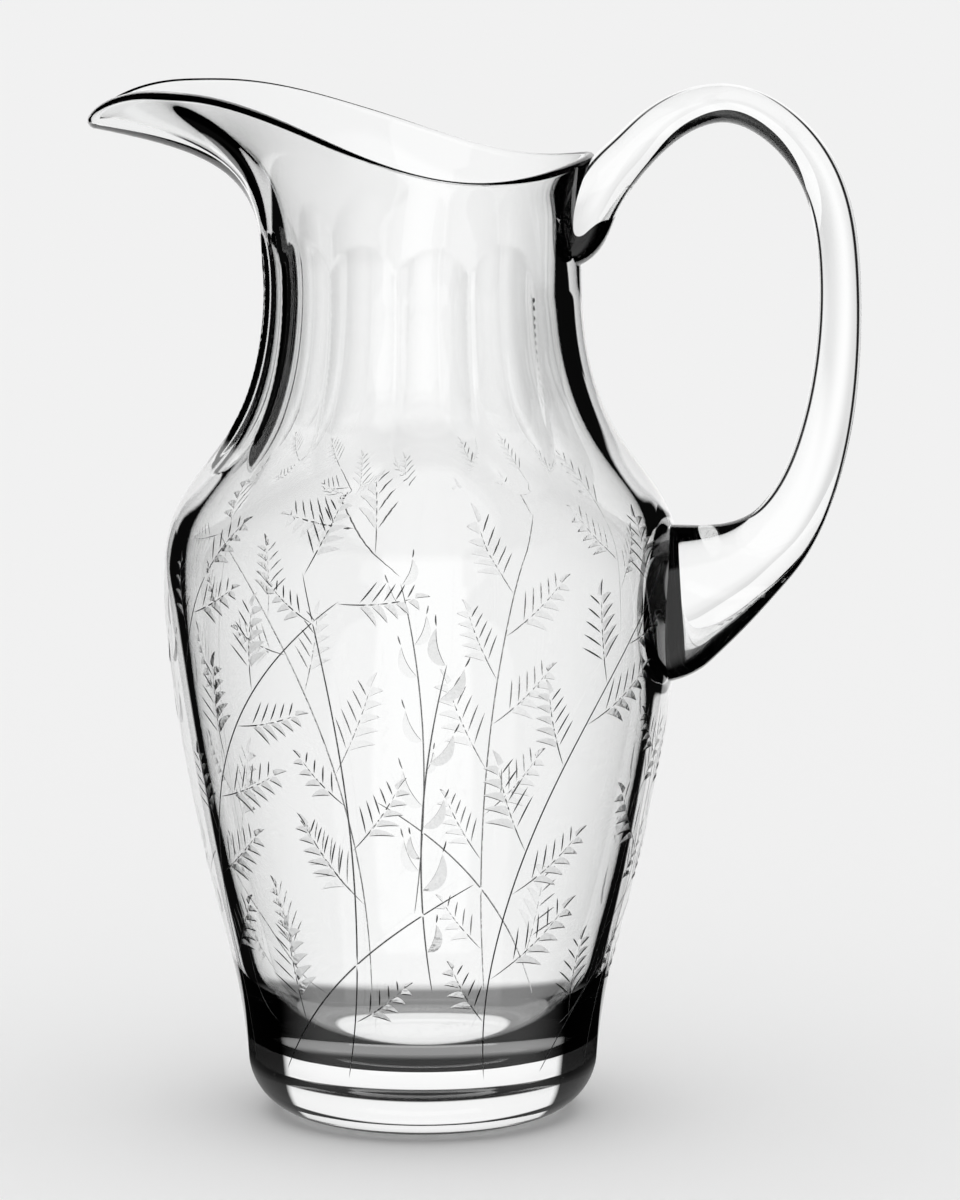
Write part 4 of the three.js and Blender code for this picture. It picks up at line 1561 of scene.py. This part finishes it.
def soft_stripes(tree, x, y, depth):
    """A gentle change of brightness round the pitcher: 1 straight behind it and at every eighth of
    a turn from there, and less by depth between."""
    azimuth = math_node(tree, "ARCTAN2", y, x)
    facing = math.pi / 2 + CAMERA_TURN
    wave = math_node(
        tree, "COSINE", math_node(tree, "MULTIPLY", math_node(tree, "SUBTRACT", azimuth, facing), STRIPES))
    share = math_node(tree, "ADD", math_node(tree, "MULTIPLY", wave, -0.5), 0.5)
    return math_node(tree, "SUBTRACT", 1.0, math_node(tree, "MULTIPLY", share, depth))


print("thrown-back light sees white within", round(math.degrees(WHITE_HALF)), "degrees of the middle line")

# %% Floor
FLOOR_HALF = 9.0
FLOOR_BELOW = 0.0002
FLOOR_TONE = 0.88
floor_mesh = bpy.data.meshes.new("floor")
corners = np.array([[-1, -1, 0], [1, -1, 0], [1, 1, 0], [-1, 1, 0]], float) * FLOOR_HALF
corners[:, 2] = -FLOOR_BELOW
floor_mesh.from_pydata(corners.tolist(), [], [(0, 1, 2, 3)])
floor_object = bpy.data.objects.new("floor", floor_mesh)
scene.collection.objects.link(floor_object)
floor_material = bpy.data.materials.new("pale_floor")
floor_material.use_nodes = True
floor_tree = floor_material.node_tree
floor_shader = floor_tree.nodes["Principled BSDF"]
floor_shader.inputs["Base Color"].default_value = (FLOOR_TONE, FLOOR_TONE, FLOOR_TONE, 1)
floor_shader.inputs["Roughness"].default_value = 0.9
floor_shader.inputs["Specular IOR Level"].default_value = 0.0
print("floor:", 2 * FLOOR_HALF, "m across, tone", FLOOR_TONE)

# %% What the floor shows to light from the glass
# For rays from the glass the floor glows, which is painted light: a painted bright spot under the foot, a
# painted shade ring round it, painted stripes, and for light thrown back in the glass a painted dark ground
# that is white only ahead.
BRIGHT_SPOT = (0.024, 0.028)
FOOT_SHADE = (0.065, 0.085)
FOOT_SHADE_TONE = 0.22
FAR_GROUND = (1.4, 2.8)
FAR_LOSS = 0.08
STRIPED_GROUND = (0.7, 1.2)
STRIPE_DEPTH = 0.2
NARROWING_GROUND = (0.25, 1.15)
THROWN_SPOT = (0.026, 0.034)
THROWN_SPOT_TONE = 0.28
THROWN_GROUND = (0.05, 0.08)
floor_path = floor_tree.nodes.new("ShaderNodeLightPath")
floor_place = floor_tree.nodes.new("ShaderNodeTexCoord")
floor_parts = floor_tree.nodes.new("ShaderNodeSeparateXYZ")
floor_tree.links.new(floor_place.outputs["Object"], floor_parts.inputs["Vector"])
floor_x, floor_y = floor_parts.outputs["X"], floor_parts.outputs["Y"]
through, thrown, spent = seen_through_glass(floor_tree, floor_path)
distance = floor_tree.nodes.new("ShaderNodeVectorMath")
distance.operation = "LENGTH"
floor_tree.links.new(floor_place.outputs["Object"], distance.inputs[0])
away = distance.outputs["Value"]
under = ramp(floor_tree, away, *BRIGHT_SPOT, 1.0, 0.0)
ring = ramp(floor_tree, away, *FOOT_SHADE, FOOT_SHADE_TONE, 1.0)
far = ramp(floor_tree, away, *FAR_GROUND, 0.0, -FAR_LOSS)
stripe_depth = ramp(floor_tree, away, *STRIPED_GROUND, 0.0, STRIPE_DEPTH)
stripes = soft_stripes(floor_tree, floor_x, floor_y, stripe_depth)
plain_glow = math_node(floor_tree, "MULTIPLY", math_node(floor_tree, "ADD", ring, far), stripes)
plain_glow = math_node(floor_tree, "MAXIMUM", plain_glow, under)
floor_half = ramp(floor_tree, away, *NARROWING_GROUND, NEAR_HALF, FAR_HALF)
thrown_near = ramp(floor_tree, away, *THROWN_SPOT, DARK, THROWN_SPOT_TONE)
floor_spread = off_axis(floor_tree, floor_x, floor_y)
thrown_far = white_in_front(
    floor_tree, floor_path, floor_x, floor_y, white_ahead(floor_tree, floor_spread, floor_half))
thrown_glow = mixed(
    floor_tree, ramp(floor_tree, away, *THROWN_GROUND, 0.0, 1.0), thrown_near, thrown_far)
thrown_glow = mixed(floor_tree, spent, thrown_glow, DARK)
glow = floor_tree.nodes.new("ShaderNodeEmission")
floor_tree.links.new(mixed(floor_tree, thrown, plain_glow, thrown_glow), glow.inputs["Strength"])
floor_mix = floor_tree.nodes.new("ShaderNodeMixShader")
floor_tree.links.new(through, floor_mix.inputs["Fac"])
floor_tree.links.new(floor_shader.outputs["BSDF"], floor_mix.inputs[1])
floor_tree.links.new(glow.outputs["Emission"], floor_mix.inputs[2])
floor_tree.links.new(floor_mix.outputs["Shader"], floor_tree.nodes["Material Output"].inputs["Surface"])
floor_mesh.materials.append(floor_material)
print("white ground narrows from", round(math.degrees(NEAR_HALF)), "to",
      round(math.degrees(FAR_HALF)), "degrees on each side")

# %% [markdown]
# ## The dark card
#
# A studio hangs a black card above the white wall, out of the picture, and the rod of the handle
# shows it upside down as a dark crescent in its bend. A dark sky alone can't do that: the base and
# the handle look in the same direction, but from different heights. So the card is a real sheet at
# a short distance. It is there only for light that came straight through the glass.

# %% Card
CARD_AWAY = 0.5
CARD_HALF_WIDTH = 1.5
CARD_LOW = 0.315
CARD_HIGH = 2.0
behind = CARD_AWAY * np.array([-math.sin(CAMERA_TURN), math.cos(CAMERA_TURN), 0])
sideways = CARD_HALF_WIDTH * np.array([math.cos(CAMERA_TURN), math.sin(CAMERA_TURN), 0])
card_mesh = bpy.data.meshes.new("dark_card")
card_corners = np.stack([behind - sideways, behind + sideways, behind + sideways, behind - sideways])
card_corners[:, 2] = (CARD_LOW, CARD_LOW, CARD_HIGH, CARD_HIGH)
card_mesh.from_pydata(card_corners.tolist(), [], [(0, 1, 2, 3)])
card_object = bpy.data.objects.new("dark_card", card_mesh)
scene.collection.objects.link(card_object)
card_material = bpy.data.materials.new("dark_card")
card_material.use_nodes = True
card_tree = card_material.node_tree
card_tree.nodes.remove(card_tree.nodes["Principled BSDF"])
card_path = card_tree.nodes.new("ShaderNodeLightPath")
through, thrown, _ = seen_through_glass(card_tree, card_path)
card_seen = math_node(card_tree, "MULTIPLY", through, math_node(card_tree, "SUBTRACT", 1.0, thrown))
card_dark = card_tree.nodes.new("ShaderNodeEmission")
card_dark.inputs["Strength"].default_value = DARK
card_clear = card_tree.nodes.new("ShaderNodeBsdfTransparent")
card_mix = card_tree.nodes.new("ShaderNodeMixShader")
card_tree.links.new(card_seen, card_mix.inputs["Fac"])
card_tree.links.new(card_clear.outputs["BSDF"], card_mix.inputs[1])
card_tree.links.new(card_dark.outputs["Emission"], card_mix.inputs[2])
card_tree.links.new(card_mix.outputs["Shader"], card_tree.nodes["Material Output"].inputs["Surface"])
card_mesh.materials.append(card_material)
print("dark card", CARD_AWAY, "m behind, from", CARD_LOW, "m up")

# %% [markdown]
# ## The world
#
# The world is the soft light of the studio: white from all sides for the floor and its shadow,
# and the pale backdrop for the camera. For light from the glass it is a white wall under a dark
# ceiling, and for light that was thrown back in the glass it is white only near the middle line.

# %% World
BACKDROP = 0.9
CEILING = (0.31, 0.34)
THROWN_CEILING = (0.5, 0.6)
WALL_RISE = (0.02, 0.25)
world = bpy.data.worlds.new("studio")
scene.world = world
world.use_nodes = True
tree = world.node_tree
background = tree.nodes["Background"]
light_path = tree.nodes.new("ShaderNodeLightPath")
place = tree.nodes.new("ShaderNodeTexCoord")
parts = tree.nodes.new("ShaderNodeSeparateXYZ")
tree.links.new(place.outputs["Generated"], parts.inputs["Vector"])
world_x, world_y = parts.outputs["X"], parts.outputs["Y"]
spread = off_axis(tree, world_x, world_y)
room_half = ramp(tree, parts.outputs["Z"], *WALL_RISE, WHITE_HALF, HIGH_HALF)
bright_room = ramp(tree, parts.outputs["Z"], *CEILING, 1.0, DARK)
high_sky = ramp(tree, parts.outputs["Z"], *THROWN_CEILING, 1.0, DARK)
through, thrown, spent = seen_through_glass(tree, light_path)
dark_room = white_in_front(tree, light_path, world_x, world_y, white_ahead(tree, spread, room_half))
dark_room = math_node(tree, "MULTIPLY", dark_room, high_sky)
dark_room = mixed(tree, spent, dark_room, DARK)
room = mixed(tree, through, 1.0, mixed(tree, thrown, bright_room, dark_room))
strength = mixed(tree, light_path.outputs["Is Camera Ray"], room, BACKDROP)
tree.links.new(strength, background.inputs["Strength"])
background.inputs["Color"].default_value = (1, 1, 1, 1)
print("backdrop strength", BACKDROP, "for the camera")
